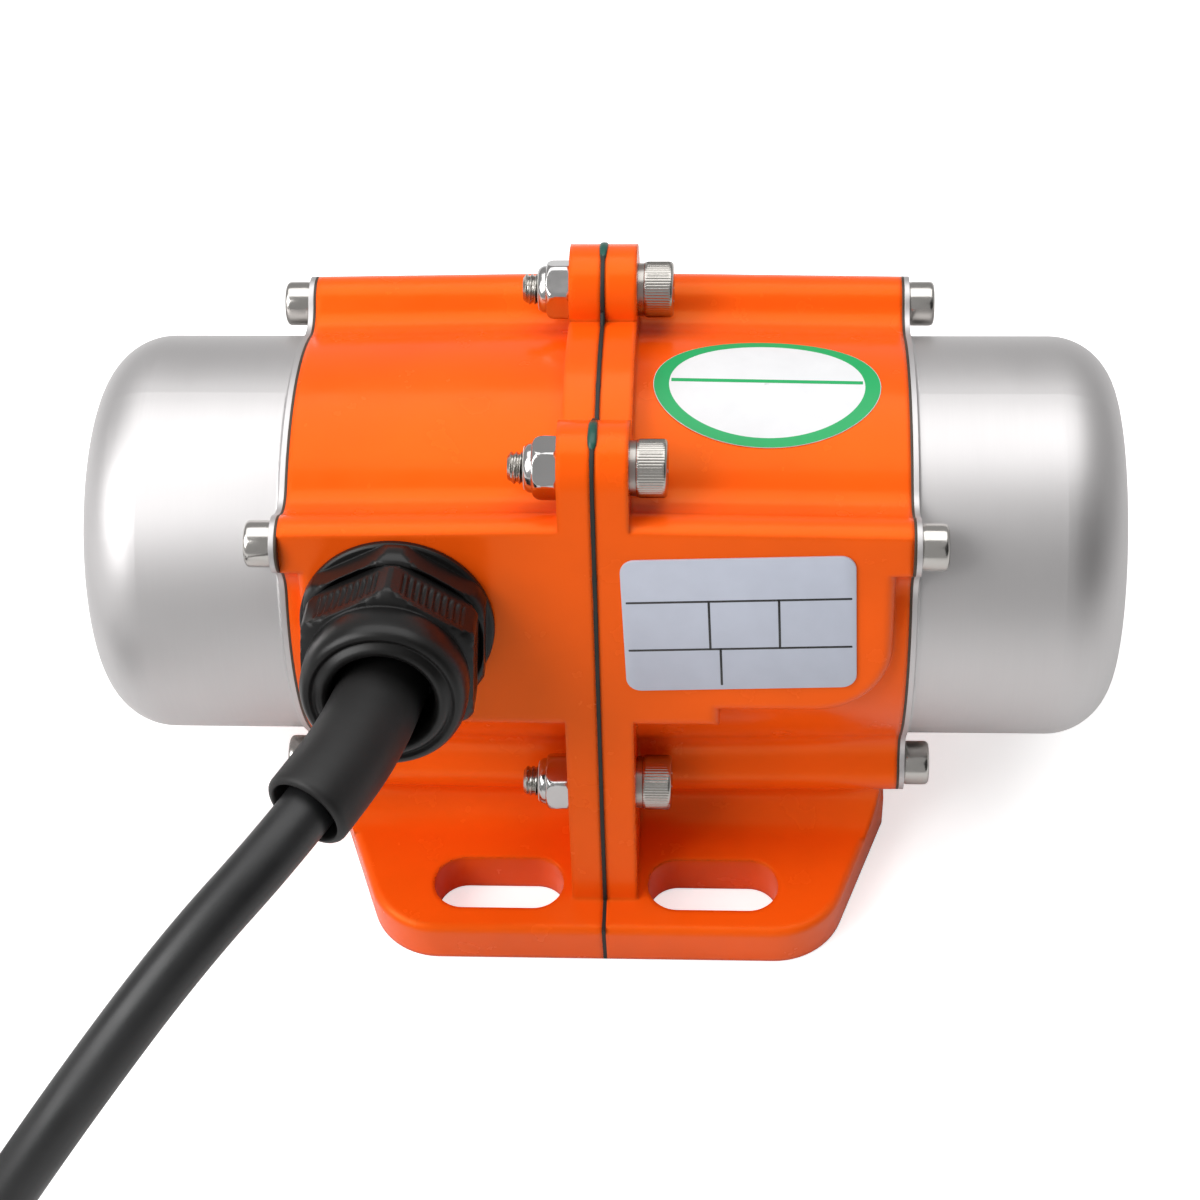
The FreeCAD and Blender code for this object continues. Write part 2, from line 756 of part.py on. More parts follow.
def stator_windings():
    """Copper winding: a bundle through each slot, joined by the end turns on both sides."""
    face = core_length / 2 + slot_liner
    liner_angle = math.degrees(slot_liner / slot_root_radius)
    winding = None
    for side in (1, -1):
        end_turns = tube(winding_outer_radius, winding_inner_radius, face, face + winding_overhang)
        end_turns = rounded(end_turns, winding_round, lambda edge: edge.Closed
                            and edge.BoundBox.XLength < 0.01)
        winding = end_turns if winding is None else winding.fuse(mirrored(end_turns))
    for i in range(stator_slot_count):
        bundle = ring_sector(slot_root_radius + slot_liner, slot_floor_radius - slot_liner,
                             slot_half_angle - liner_angle, -face - winding_round,
                             face + winding_round, 360 * i / stator_slot_count)
        winding = winding.fuse(bundle)
    return winding


def rotor_bars(start, end, radius):
    """Round bars of the rotor cage."""
    return [rod(radius, start, end, turn(360 * i / rotor_bar_count, rotor_bar_circle))
            for i in range(rotor_bar_count)]


def rotor_core():
    """Laminated rotor body with a hole for each bar."""
    stop = core_length / 2
    core = tube(rotor_radius, shaft_core_radius + seat_clearance, -stop, stop)
    return core.cut(rotor_bars(-stop, stop, rotor_bar_radius))


def rotor_cage():
    """Cast aluminium cage: the bars and the ring that joins them at each end."""
    stop = core_length / 2
    outer = rotor_radius - air_gap
    rings = [tube(outer, cage_ring_inner_radius, stop, stop + cage_ring_length),
             tube(outer, cage_ring_inner_radius, -stop - cage_ring_length, -stop)]
    return rings[0].fuse(rings[1:] + rotor_bars(-stop, stop, rotor_bar_radius))


def shaft():
    """Stepped shaft with a key seat and a retaining ring groove at each end."""
    radius = bearing_bore / 2
    right = right_bearing_start
    left = -left_bearing_start
    body = revolved([(-shaft_end, 0), (-shaft_end, radius - shaft_chamfer),
                     (-shaft_end + shaft_chamfer, radius), (left, radius),
                     (left, shaft_core_radius), (right, shaft_core_radius), (right, radius),
                     (shaft_end - shaft_chamfer, radius), (shaft_end, radius - shaft_chamfer),
                     (shaft_end, 0)])
    groove = tube(radius + 1, radius - ring_depth, ring_start, ring_start + ring_thickness)
    for side in (1, -1):
        body = body.cut(for_side(weight_key(), side)).cut(for_side(groove, side))
    return body


def weight_key():
    """Parallel key between the shaft and a fixed weight, on the light side."""
    seat = axis_height + bearing_bore / 2 - key_seat_depth
    inset = key_width / 2
    return block(weight_start + inset, weight_start + weight_thickness - inset,
                 -key_width / 2, key_width / 2, seat, seat + key_height)


def half_disc(start):
    """Unbalance weight: a half disc that hangs below a round hub."""
    end = start + weight_thickness
    disc = rod(weight_radius, start, end)
    below = block(start, end, -weight_radius, weight_radius,
                  axis_height - weight_radius - 1, axis_height - weight_flat_drop)
    return disc.common(below).fuse(rod(weight_hub_radius, start, end))


def fixed_weight():
    """Weight next to the bearing, driven by the key."""
    weight = half_disc(weight_start).cut(rod(bearing_bore / 2 + seat_clearance,
                                             weight_start - 1, weight_start + weight_thickness + 1))
    seat = axis_height + bearing_bore / 2 - key_seat_depth
    keyway = block(weight_start - 1, weight_start + weight_thickness + 1,
                   -key_width / 2 - key_clearance, key_width / 2 + key_clearance,
                   seat, seat + key_height + key_clearance)
    return weight.cut(keyway)


def adjustable_weight():
    """Outer weight, clamped on the shaft by a split lug so that its angle can be set."""
    start = adjustable_start
    end = start + weight_thickness
    lug = block(start, end, -clamp_lug_half_width, clamp_lug_half_width,
                axis_height, axis_height + clamp_lug_height)
    weight = half_disc(start).fuse(lug)
    weight = weight.cut(rod(bearing_bore / 2 + seat_clearance, start - 1, end + 1))
    weight = weight.cut(block(start - 1, end + 1, -clamp_split / 2, clamp_split / 2,
                              axis_height, axis_height + clamp_lug_height + 1))
    return weight.cut(clamp_cylinder(clamp_screw_diameter / 2 + thread_clearance,
                                     clamp_screw_length))


def clamp_cylinder(radius, length):
    """Cylinder along the clamp screw, from the front of the lug."""
    start = Vector(adjustable_start + weight_thickness / 2, -clamp_lug_half_width,
                   axis_height + clamp_screw_height)
    return Part.makeCylinder(radius, length, start, Vector(0, 1, 0))


def clamp_screw():
    """Screw that closes the split lug."""
    screw = socket_screw(clamp_screw_diameter, clamp_screw_length - thread_clearance,
                         cap_screw_head_diameter, cap_screw_head_height, cap_screw_socket)
    spot = Vector(adjustable_start + weight_thickness / 2, -clamp_lug_half_width,
                  axis_height + clamp_screw_height)
    screw.Placement = FreeCAD.Placement(spot, FreeCAD.Rotation(Vector(1, 0, 0), 90))
    return screw


def weight_spacer(bearing_face):
    """Sleeve between a bearing's inner ring and the fixed weight."""
    return tube(spacer_radius, bearing_bore / 2 + seat_clearance, bearing_face, weight_start)


def retaining_ring():
    """Open spring ring in the groove at the shaft's end."""
    outer = bearing_bore / 2 - ring_depth + ring_width
    ring = tube(outer, bearing_bore / 2 - ring_depth, ring_start, ring_start + ring_thickness)
    return ring.cut(block(ring_start - 1, ring_start + ring_thickness + 1,
                          -ring_mouth / 2, ring_mouth / 2, axis_height, axis_height + outer + 1))


# Cable gland: built on the Z axis with z 0 on the boss face

def on_gland(shape, level=0.0):
    """Moves a shape from the Z axis onto the gland's axis, its XY plane level above the boss."""
    moved = shape.copy()
    moved.Placement = FreeCAD.Placement(boss_point(gland_x, gland_rise, boss_face + level),
                                        FreeCAD.Rotation(Vector(1, 0, 0), 90 - boss_tilt))
    return moved


def ring_on_z(outer, inner, start, end):
    """Ring on the Z axis."""
    ring = Part.makeCylinder(outer, end - start, Vector(0, 0, start))
    return ring.cut(Part.makeCylinder(inner, end - start + 2, Vector(0, 0, start - 1)))


def gland_washer():
    """Flat seal between the boss and the gland."""
    inner = gland_thread_radius + thread_clearance
    return on_gland(ring_on_z(gland_washer_radius, inner, 0, gland_washer_thickness))


def gland_body():
    """Gland body: threaded nipple, round base and the threaded neck that holds the seal."""
    base_top = gland_washer_thickness + gland_base_thickness
    body = Part.makeCylinder(gland_thread_radius, gland_nipple_length + gland_washer_thickness,
                             Vector(0, 0, -gland_nipple_length))
    body = body.fuse(Part.makeCylinder(gland_base_radius, gland_base_thickness,
                                       Vector(0, 0, gland_washer_thickness)))
    body = body.fuse(Part.makeCylinder(gland_neck_radius, gland_body_length - base_top,
                                       Vector(0, 0, base_top)))
    body = body.cut(Part.makeCylinder(gland_bore_radius, gland_nipple_length + gland_body_length + 1,
                                      Vector(0, 0, -gland_nipple_length - 0.5)))
    return on_gland(body.cut(Part.makeCylinder(gland_seat_radius, gland_seat_depth + 1,
                                               Vector(0, 0, gland_body_length - gland_seat_depth))))


def gland_seal():
    """Rubber bush that the nut squeezes round the cable."""
    return on_gland(ring_on_z(gland_seat_radius, cord_diameter / 2 + gland_seal_clearance,
                              gland_body_length - gland_seat_depth, gland_body_length))


def gland_nut():
    """Dome nut: a hexagon with ribbed flats, a chamfer and a rounded dome with a wide mouth."""
    start = gland_washer_thickness + gland_base_thickness
    hex_top = start + gland_hex_length
    top = hex_top + gland_dome_length
    corner = gland_across_flats / math.sqrt(3)
    prism = hexagon(gland_across_flats, gland_hex_length)
    prism.translate(Vector(0, 0, start))
    drop = gland_chamfer
    slope = Part.makeCone(corner + gland_hex_length - drop * 0.5, gland_dome_radius,
                          gland_hex_length + corner - drop * 0.5 - gland_dome_radius,
                          Vector(0, 0, start))
    nut = prism.common(slope.fuse(Part.makeCylinder(gland_dome_radius, gland_hex_length,
                                                    Vector(0, 0, start))))
    nut = nut.cut(gland_ribs(start))
    dome = Part.makeCylinder(gland_dome_radius, top - start, Vector(0, 0, start))
    dome = rounded(dome, gland_dome_round, lambda edge: edge.Closed
                   and edge.CenterOfMass.z > top - 0.01)
    nut = nut.fuse(dome)
    nut = nut.cut(Part.makeCylinder(gland_neck_radius + thread_clearance,
                                    gland_body_length - start + thread_clearance,
                                    Vector(0, 0, start)))
    return on_gland(nut.cut(Part.makeCylinder(gland_mouth_radius, top, Vector(0, 0, start))))


def gland_ribs(start):
    """Grooves that leave grip ribs on the nut's flats."""
    side = gland_across_flats / math.sqrt(3)
    pitch = side * 0.7 / gland_rib_count
    grooves = []
    for flat in range(6):
        for i in range(gland_rib_count):
            y = (i - (gland_rib_count - 1) / 2) * pitch
            groove = Part.makeBox(2, pitch / 2, gland_hex_length - 2 * gland_chamfer,
                                  Vector(gland_across_flats / 2 - gland_rib_depth, y - pitch / 4,
                                         start + gland_chamfer / 2))
            groove.rotate(Vector(0, 0, 0), Vector(0, 0, 1), 60 * flat)
            grooves.append(groove)
    return grooves


# Cable

def cord_route():
    """Corners of the cable's path: out of the gland along its axis, then down to the coil."""
    return [boss_point(gland_x, gland_rise, boss_face + cord_start),
            boss_point(gland_x, gland_rise, boss_face + cord_straight)] + cord_corners


def routed_edges(points):
    """Edges of a path through the points: straight runs joined by tangent arcs."""
    edges = []
    last = points[0]
    for before, corner, after in zip(points, points[1:], points[2:]):
        run_in = corner - before
        run_out = after - corner
        half_turn = run_in.getAngle(run_out) / 2
        reach = arc_share * min(run_in.Length, run_out.Length)
        radius = reach / math.tan(half_turn)
        print("arc radius %.1f mm" % radius)
        first = corner - Vector(run_in).normalize() * reach
        second = corner + Vector(run_out).normalize() * reach
        inward = (Vector(run_out).normalize() - Vector(run_in).normalize()).normalize()
        middle = corner + inward * (radius / math.cos(half_turn) - radius)
        edges.append(Part.LineSegment(last, first).toShape())
        edges.append(Part.Arc(first, middle, second).toShape())
        last = second
    edges.append(Part.LineSegment(last, points[-1]).toShape())
    return edges


def swept(edges, radius):
    """Round tube along the edges."""
    path = Part.Wire(edges)
    start = edges[0].Vertexes[0].Point
    along = edges[0].tangentAt(edges[0].FirstParameter)
    section = Part.Wire(Part.makeCircle(radius, start, along))
    return path.makePipeShell([section], True, False)


def cable_coil():
    """Outer form of the coiled cable as it lies on the floor."""
    inner = coil_radius - coil_band / 2
    ring = Part.makeCylinder(inner + coil_band, coil_height, Vector(coil_x, coil_y, 0))
    ring = ring.cut(Part.makeCylinder(inner, coil_height, Vector(coil_x, coil_y, 0)))
    return rounded(ring, coil_height * 0.4, lambda edge: edge.Closed
                   and edge.BoundBox.ZLength < 0.01)


def power_cord(edges):
    """Cable from inside the gland to the coil."""
    return swept(edges, cord_diameter / 2).cut(cable_coil())


def cable_sleeve(edges):
    """Rubber sleeve round the cable where it leaves the gland."""
    ring = swept(edges[:3], sleeve_diameter / 2)
    ring = ring.cut(swept(edges[:3], cord_diameter / 2 + sleeve_clearance))
    inside = Part.makeCylinder(sleeve_diameter, 60, Vector(0, 0, -60))
    return ring.cut(on_gland(inside, gland_body_length))


def lead_wires():
    """Three insulated leads from the cable's end to the end turns of the winding."""
    leads = []
    end = -(core_length / 2 + slot_liner + winding_overhang)
    depth = (winding_outer_radius + winding_inner_radius) / 2 - lead_spread / 3
    outward = turn(boss_tilt)
    reach = boss_face + cord_start
    for i in range(3):
        shift = turn(90 + 120 * i, lead_spread)
        x = gland_x + shift.z
        rise = gland_rise + shift.y
        start = boss_point(x, rise, reach - seat_clearance)
        corner = boss_point(x, rise, depth - shift.z)
        finish = boss_point(end, rise, depth - shift.z)
        first = corner + outward * lead_bend_radius
        second = corner + Vector(1, 0, 0) * lead_bend_radius
        bend = lead_bend_radius * (1 - math.sqrt(0.5))
        middle = corner + (outward + Vector(1, 0, 0)) * bend
        edges = [Part.LineSegment(start, first).toShape(), Part.Arc(first, middle, second).toShape(),
                 Part.LineSegment(second, finish).toShape()]
        leads.append(swept(edges, lead_diameter / 2))
    return Part.makeCompound(leads)


def tail_start():
    """Where the cable's tail leaves the coil's outside, a little inside its widest place."""
    outer = coil_radius + coil_band / 2
    lane = outer - tail_inset
    return Vector(coil_x - lane, coil_y + math.sqrt(outer ** 2 - lane ** 2), cord_diameter / 2)


def cord_tail():
    """Straight end of the cable, from the coil along the floor."""
    back = Vector(0, coil_band, 0)
    tail = Part.makeCylinder(cord_diameter / 2, tail_length + coil_band, tail_start() - back,
                             Vector(0, 1, 0))
    return tail.cut(cable_coil())


def core_ends():
    """The three cores where the sheath is stripped."""
    base = tail_start() + Vector(0, tail_length, 0)
    cores = []
    for i in range(3):
        angle = math.radians(90 + 120 * i)
        shift = Vector(math.cos(angle), 0, math.sin(angle)) * lead_spread
        cores.append(Part.makeCylinder(core_end_diameter / 2, core_end_length, base + shift,
                                       Vector(0, 1, 0)))
    return Part.makeCompound(cores)


# Nodes

def end_pieces(side):
    """Sub-parts that both ends have, for the right end (side 1) or the left end (side -1)."""
    start = right_bearing_start if side > 0 else left_bearing_start
    right = {
        "end_cap": end_cap(),
        "cap_gasket": cap_gasket(),
        "cap_screws": cap_screws(),
        "bearing_outer_ring": bearing_outer_ring(start),
        "bearing_inner_ring": bearing_inner_ring(start),
        "bearing_shields": bearing_shields(start),
        "bearing_balls": bearing_balls(start),
        "ball_cage": ball_cage(start),
        "bearing_spacer": weight_spacer(start + bearing_width),
        "shaft_key": weight_key(),
        "fixed_weight": fixed_weight(),
        "adjustable_weight": adjustable_weight(),
        "clamp_screw": clamp_screw(),
        "retaining_ring": retaining_ring(),
    }
    name = "right_" if side > 0 else "left_"
    built = {name + piece: for_side(shape, side) for piece, shape in right.items()}
    built[name + "housing"] = housing(side)
    return built


def middle_pieces():
    """Sub-parts of the joint, the motor, the gland and the cable."""
    cord_edges = routed_edges(cord_route())
    return {
        "joint_gasket": joint_gasket(),
        "flange_screws": flange_screws(),
        "spring_washers": spring_washers(),
        "lock_nuts": at_flange_back(lock_nut()),
        "lock_nut_inserts": at_flange_back(nut_insert()),
        "wave_washer": wave_washer(),
        "stator_core": stator_core(),
        "stator_windings": stator_windings(),
        "lead_wires": lead_wires(),
        "shaft": shaft(),
        "rotor_core": rotor_core(),
        "rotor_cage": rotor_cage(),
        "gland_washer": gland_washer(),
        "gland_body": gland_body(),
        "gland_seal": gland_seal(),
        "gland_nut": gland_nut(),
        "cable_sleeve": cable_sleeve(cord_edges),
        "power_cord": power_cord(cord_edges),
        "cord_coil": cable_coil(),
        "cord_tail": cord_tail(),
        "cord_core_ends": core_ends(),
    }


def main():
    """Writes every sub-part to the parts folder."""
    os.makedirs("parts", exist_ok=True)
    for built in (middle_pieces(), end_pieces(1), end_pieces(-1)):
        for name, shape in built.items():
            shape.exportStep("parts/" + name + ".step")


main()
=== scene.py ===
"""Looks of a foot-mounted vibration motor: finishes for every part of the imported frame, and the pieces
that the frame leaves plain, such as knurled screws, the rating plate, the sticker and the cable.

The frame has X along the shaft, -Y towards the cable gland and Z up from the foot's underside. Angles
on a circle round the shaft are in degrees, 0 to the front and 90 up.
"""
from __future__ import annotations

import json
import logging
import math
from dataclasses import dataclass
from enum import Enum

import bpy
import numpy as np
from mathutils import Matrix, Vector

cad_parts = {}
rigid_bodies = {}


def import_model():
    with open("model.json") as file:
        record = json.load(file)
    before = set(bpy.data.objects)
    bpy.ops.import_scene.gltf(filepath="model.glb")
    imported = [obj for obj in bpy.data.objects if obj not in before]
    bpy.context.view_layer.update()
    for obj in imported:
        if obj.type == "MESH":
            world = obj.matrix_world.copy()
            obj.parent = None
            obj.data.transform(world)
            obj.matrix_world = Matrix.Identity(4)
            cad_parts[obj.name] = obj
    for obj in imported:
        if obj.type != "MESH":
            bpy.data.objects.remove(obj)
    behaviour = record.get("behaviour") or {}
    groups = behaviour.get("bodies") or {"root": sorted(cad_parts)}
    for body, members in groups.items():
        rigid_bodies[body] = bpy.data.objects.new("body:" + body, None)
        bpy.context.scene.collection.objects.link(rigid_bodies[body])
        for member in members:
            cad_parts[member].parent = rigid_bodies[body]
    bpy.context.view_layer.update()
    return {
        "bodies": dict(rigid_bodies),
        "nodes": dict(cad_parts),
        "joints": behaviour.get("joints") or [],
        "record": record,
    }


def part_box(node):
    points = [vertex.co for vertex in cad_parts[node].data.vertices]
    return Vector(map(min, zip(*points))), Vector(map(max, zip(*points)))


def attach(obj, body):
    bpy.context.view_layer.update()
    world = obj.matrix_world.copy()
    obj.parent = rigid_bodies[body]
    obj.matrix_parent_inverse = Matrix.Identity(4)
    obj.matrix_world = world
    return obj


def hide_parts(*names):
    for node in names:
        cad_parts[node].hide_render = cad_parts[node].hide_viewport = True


LOG = logging.getLogger("motor")
Grid = np.ndarray
Mesh = tuple[np.ndarray, list[list[int]]]
Pair = tuple[float, float]
Triple = tuple[float, float, float]
Socket = bpy.types.NodeSocket

MM = 0.001

# Sizes that more than one class reads, in millimetres and degrees
SHAFT_HEIGHT = 45.0
BOSS_FACE = 34.786
BOSS_TILT = 15.5
FLANGE_RING = 40.0
FLANGE_ANGLES = (61.5, 118.5, -30.5, 210.5)


class Side(Enum):
    """The two ends of the motor, as the sign of X."""

    LEFT = -1
    RIGHT = 1

    @property
    def word(self) -> str:
        """Name that the frame's nodes start with."""
        return self.name.lower()


class Grain(Enum):
    """Direction of the fine lines that a tool leaves on metal, as the noise's stretch on each axis."""

    ROUND = (60, 1.5, 1.5)
    ALONG = (1, 40, 40)
    NONE = (8, 8, 8)


# Finishes


class Recipe:
    """Node tree of one material, with short ways to add the nodes that the finishes share."""

    def __init__(self, name: str) -> None:
        """Starts a material whose only node is its shader.

        Args:
            name: Name of the material.
        """
        self.material = bpy.data.materials.new(name)
        self.material.use_nodes = True
        self.tree = self.material.node_tree
        self.shader = self.tree.nodes["Principled BSDF"]

    def add(self, kind: str, **settings: object) -> bpy.types.Node:
        """Adds a node.

        Args:
            kind: Type of the node, such as ShaderNodeTexNoise.
            settings: Properties of the node, or values of its inputs by name with _ for a space.

        Returns:
            The new node.
        """
        node = self.tree.nodes.new(kind)
        for key, value in settings.items():
            if hasattr(node, key):
                setattr(node, key, value)
            else:
                node.inputs[key.replace("_", " ")].default_value = value
        return node

    def join(self, source: Socket, target: Socket) -> None:
        """Links an output to an input."""
        self.tree.links.new(source, target)

    def feed(self, name: str, source: Socket) -> None:
        """Links an output to the shader's input of that name."""
        self.join(source, self.shader.inputs[name])

    def set(self, **values: object) -> None:
        """Sets inputs of the shader by name, with _ for a space."""
        for key, value in values.items():
            self.shader.inputs[key.replace("_", " ")].default_value = value

    def place(self, centre: Triple = (0, 0, 0), stretch: Triple = (1, 1, 1)) -> Socket:
        """Object coordinates, moved so that centre is their zero and then stretched.

        Args:
            centre: Point that becomes the origin, in metres.
            stretch: Factor along each axis.

        Returns:
            The coordinates.
        """
        coordinates = self.add("ShaderNodeTexCoord")
        mapping = self.add("ShaderNodeMapping")
        mapping.inputs["Location"].default_value = [-c * s for c, s in zip(centre, stretch)]
        mapping.inputs["Scale"].default_value = stretch
        self.join(coordinates.outputs["Object"], mapping.inputs["Vector"])
        return mapping.outputs["Vector"]

    def noise(self, vector: Socket, scale: float, detail: float = 3.0, rough: float = 0.5) -> Socket:
        """Noise over the given coordinates.

        Args:
            vector: Coordinates.
            scale: Waves per metre.
            detail: Number of finer layers.
            rough: Weight of the finer layers.

        Returns:
            The noise, about 0.5 on average.
        """
        node = self.add("ShaderNodeTexNoise", Scale=scale, Detail=detail, Roughness=rough)
        self.join(vector, node.inputs["Vector"])
        return node.outputs["Fac"]

    def span(self, value: Socket, low: float, high: float, start: float = 0.3,
             end: float = 0.7) -> Socket:
        """Carries a value from the range start to end over to the range low to high.

        Args:
            value: The value.
            low: Result at start.
            high: Result at end.
            start: Lower end of the value's range.
            end: Upper end of the value's range.

        Returns:
            The new value, clamped.
        """
        node = self.add("ShaderNodeMapRange", From_Min=start, From_Max=end, To_Min=low, To_Max=high)
        self.join(value, node.inputs["Value"])
        return node.outputs["Result"]

    def colour(self, value: Socket, first: Triple, second: Triple, start: float = 0.3,
               end: float = 0.7) -> None:
        """Colours the shader by a value, with a blend of two linear colours.

        Args:
            value: The value.
            first: Colour up to start.
            second: Colour from end on.
            start: Value where the blend starts.
            end: Value where the blend ends.
        """
        node = self.add("ShaderNodeMix", data_type="RGBA")
        node.inputs[6].default_value = (*first, 1)
        node.inputs[7].default_value = (*second, 1)
        self.join(self.span(value, 0, 1, start, end), node.inputs["Factor"])
        self.feed("Base Color", node.outputs[2])

    def roughen(self, value: Socket, middle: float, least: float, most: float) -> None:
        """Gives the shader's roughness a spread: least to most, as shares of middle, by a value."""
        self.feed("Roughness", self.span(value, middle * least, middle * most))

    def bump(self, height: Socket, depth: float, strength: float = 1.0,
             edge: float = 0.0) -> None:
        """Gives the shader a bump, over edges that are softened by the given radius.

        Args:
            height: Height from 0 to 1.
            depth: Depth of the relief in metres.
            strength: Weight of the relief.
            edge: Radius that edges are softened by, in metres, or 0 for none.
        """
        node = self.add("ShaderNodeBump", Distance=depth, Strength=strength)
        self.join(height, node.inputs["Height"])
        if edge:
            bevel = self.add("ShaderNodeBevel", samples=4, Radius=edge)
            self.join(bevel.outputs["Normal"], node.inputs["Normal"])
        self.feed("Normal", node.outputs["Normal"])


@dataclass(frozen=True)
class Finish:
    """A finish: its name, linear colour and roughness. Depths, widths and edges are in metres."""

    name: str
    colour: Triple
    roughness: float

    def shade(self, factor: float) -> Triple:
        """The colour, lighter or darker by a factor."""
        return tuple(min(1.0, c * factor) for c in self.colour)

    def material(self) -> bpy.types.Material:
        """Builds the material.

        Returns:
            The material.
        """
        recipe = Recipe(self.name)
        self.lay(recipe)
        return recipe.material

    def lay(self, recipe: Recipe) -> None:
        """Adds this kind of finish to a new material."""
        raise NotImplementedError


@dataclass(frozen=True)
class Enamel(Finish):
    """Gloss stoving enamel over a casting: faint waves of the cast skin and orange peel on top."""

    wave: float = 0.000022
    peel: float = 0.000006
    edge: float = 0.0012

    def lay(self, recipe: Recipe) -> None:
        """Adds a thin clear coat over a slightly cloudy colour, and the relief of waves and peel.

        Args:
            recipe: The new material.
        """
        here = recipe.place()
        recipe.colour(recipe.noise(here, scale=55), self.shade(0.94), self.shade(1.05))
        recipe.roughen(recipe.noise(here, scale=160, detail=4), self.roughness, 0.8, 1.25)
        relief = recipe.add("ShaderNodeMath", operation="MULTIPLY_ADD")
        recipe.join(recipe.noise(here, scale=1500, detail=2), relief.inputs[0])
        relief.inputs[1].default_value = self.peel / self.wave
        recipe.join(recipe.noise(here, scale=190, detail=2), relief.inputs[2])
        recipe.bump(relief.outputs[0], self.wave, edge=self.edge)
        recipe.set(Coat_Weight=0.05, Coat_Roughness=0.08, Coat_IOR=1.45, Specular_IOR_Level=0.58,
                   Specular_Tint=(1.0, 0.5, 0.1, 1.0))


@dataclass(frozen=True)
class Metal(Finish):
    """Bare metal with fine tool lines, and patches as strong as uneven says, from 0 to 1."""

    grain: Grain = Grain.NONE
    depth: float = 0.000004
    uneven: float = 1.0
    edge: float = 0.00015

    def lay(self, recipe: Recipe) -> None:
        """Adds the tool lines, read from coordinates about the shaft that are stretched across them.

        Args:
            recipe: The new material.
        """
        here = recipe.place((0, 0, SHAFT_HEIGHT * MM), self.grain.value)
        lines = recipe.noise(here, scale=60, detail=4, rough=0.6)
        patch = recipe.noise(recipe.place(), scale=70, detail=4)
        recipe.colour(patch, self.shade(1 - 0.1 * self.uneven), self.shade(1 + 0.06 * self.uneven))
        recipe.roughen(lines, self.roughness, 1 - 0.2 * self.uneven, 1 + 0.3 * self.uneven)
        recipe.bump(lines, self.depth, edge=self.edge)
        recipe.set(Metallic=1.0)
        if self.grain is not Grain.NONE:
            recipe.set(Anisotropic=0.35 * self.uneven)


@dataclass(frozen=True)
class Polymer(Finish):
    """Moulded plastic or rubber with a fine matt skin."""

    skin: float = 0.00001
    skin_scale: float = 1800
    gloss: float = 0.5
    edge: float = 0.0003

    def lay(self, recipe: Recipe) -> None:
        """Adds a fine grain and slightly uneven gloss.

        Args:
            recipe: The new material.
        """
        here = recipe.place()
        cloud = recipe.noise(here, scale=120, detail=4)
        recipe.colour(cloud, self.shade(0.85), self.shade(1.2))
        recipe.roughen(cloud, self.roughness, 0.85, 1.15)
        recipe.bump(recipe.noise(here, self.skin_scale, detail=2), self.skin, 0.7, self.edge)
        recipe.set(Specular_IOR_Level=self.gloss)


@dataclass(frozen=True)
class Banded(Finish):
    """Fine bands with dark gaps: thin sheets seen edge on, or varnished wire laid in turns.

    Where a band's height passes over the ramp, the colour goes from its dark share to its full value.
    """

    direction: str = "X"
    width: float = 0.0005
    wander: float = 0.4
    dark: float = 0.35
    ramp: Pair = (0.0, 0.4)
    depth: float = 0.00004
    metallic: float = 0.85
    varnish: float = 0.0

    def lay(self, recipe: Recipe) -> None:
        """Adds the bands as colour and relief. A scale of 1 makes bands 0.314 m wide.

        Args:
            recipe: The new material.
        """
        wave = recipe.add("ShaderNodeTexWave", bands_direction=self.direction,
                          Scale=0.314 / self.width, Distortion=self.wander)
        recipe.join(recipe.place(), wave.inputs["Vector"])
        recipe.colour(wave.outputs["Fac"], self.shade(self.dark), self.colour, *self.ramp)
        recipe.bump(wave.outputs["Fac"], self.depth)
        recipe.set(Metallic=self.metallic, Roughness=self.roughness)
        if self.varnish:
            recipe.set(Coat_Weight=self.varnish, Coat_Roughness=0.15)


@dataclass(frozen=True)
class Printed(Finish):
    """Foil or paper with a flat print: faint fibres and an even, half-gloss face."""

    gloss: float = 0.3
    fibre: float = 0.000008

    def lay(self, recipe: Recipe) -> None:
        """Adds the fibres and the gloss.

        Args:
            recipe: The new material.
        """
        here = recipe.place()
        recipe.colour(recipe.noise(here, scale=240), self.shade(0.97), self.shade(1.02))
        recipe.bump(recipe.noise(here, scale=900), self.fibre, 0.6)
        recipe.set(Roughness=self.roughness, Coat_Weight=self.gloss, Coat_Roughness=0.12)


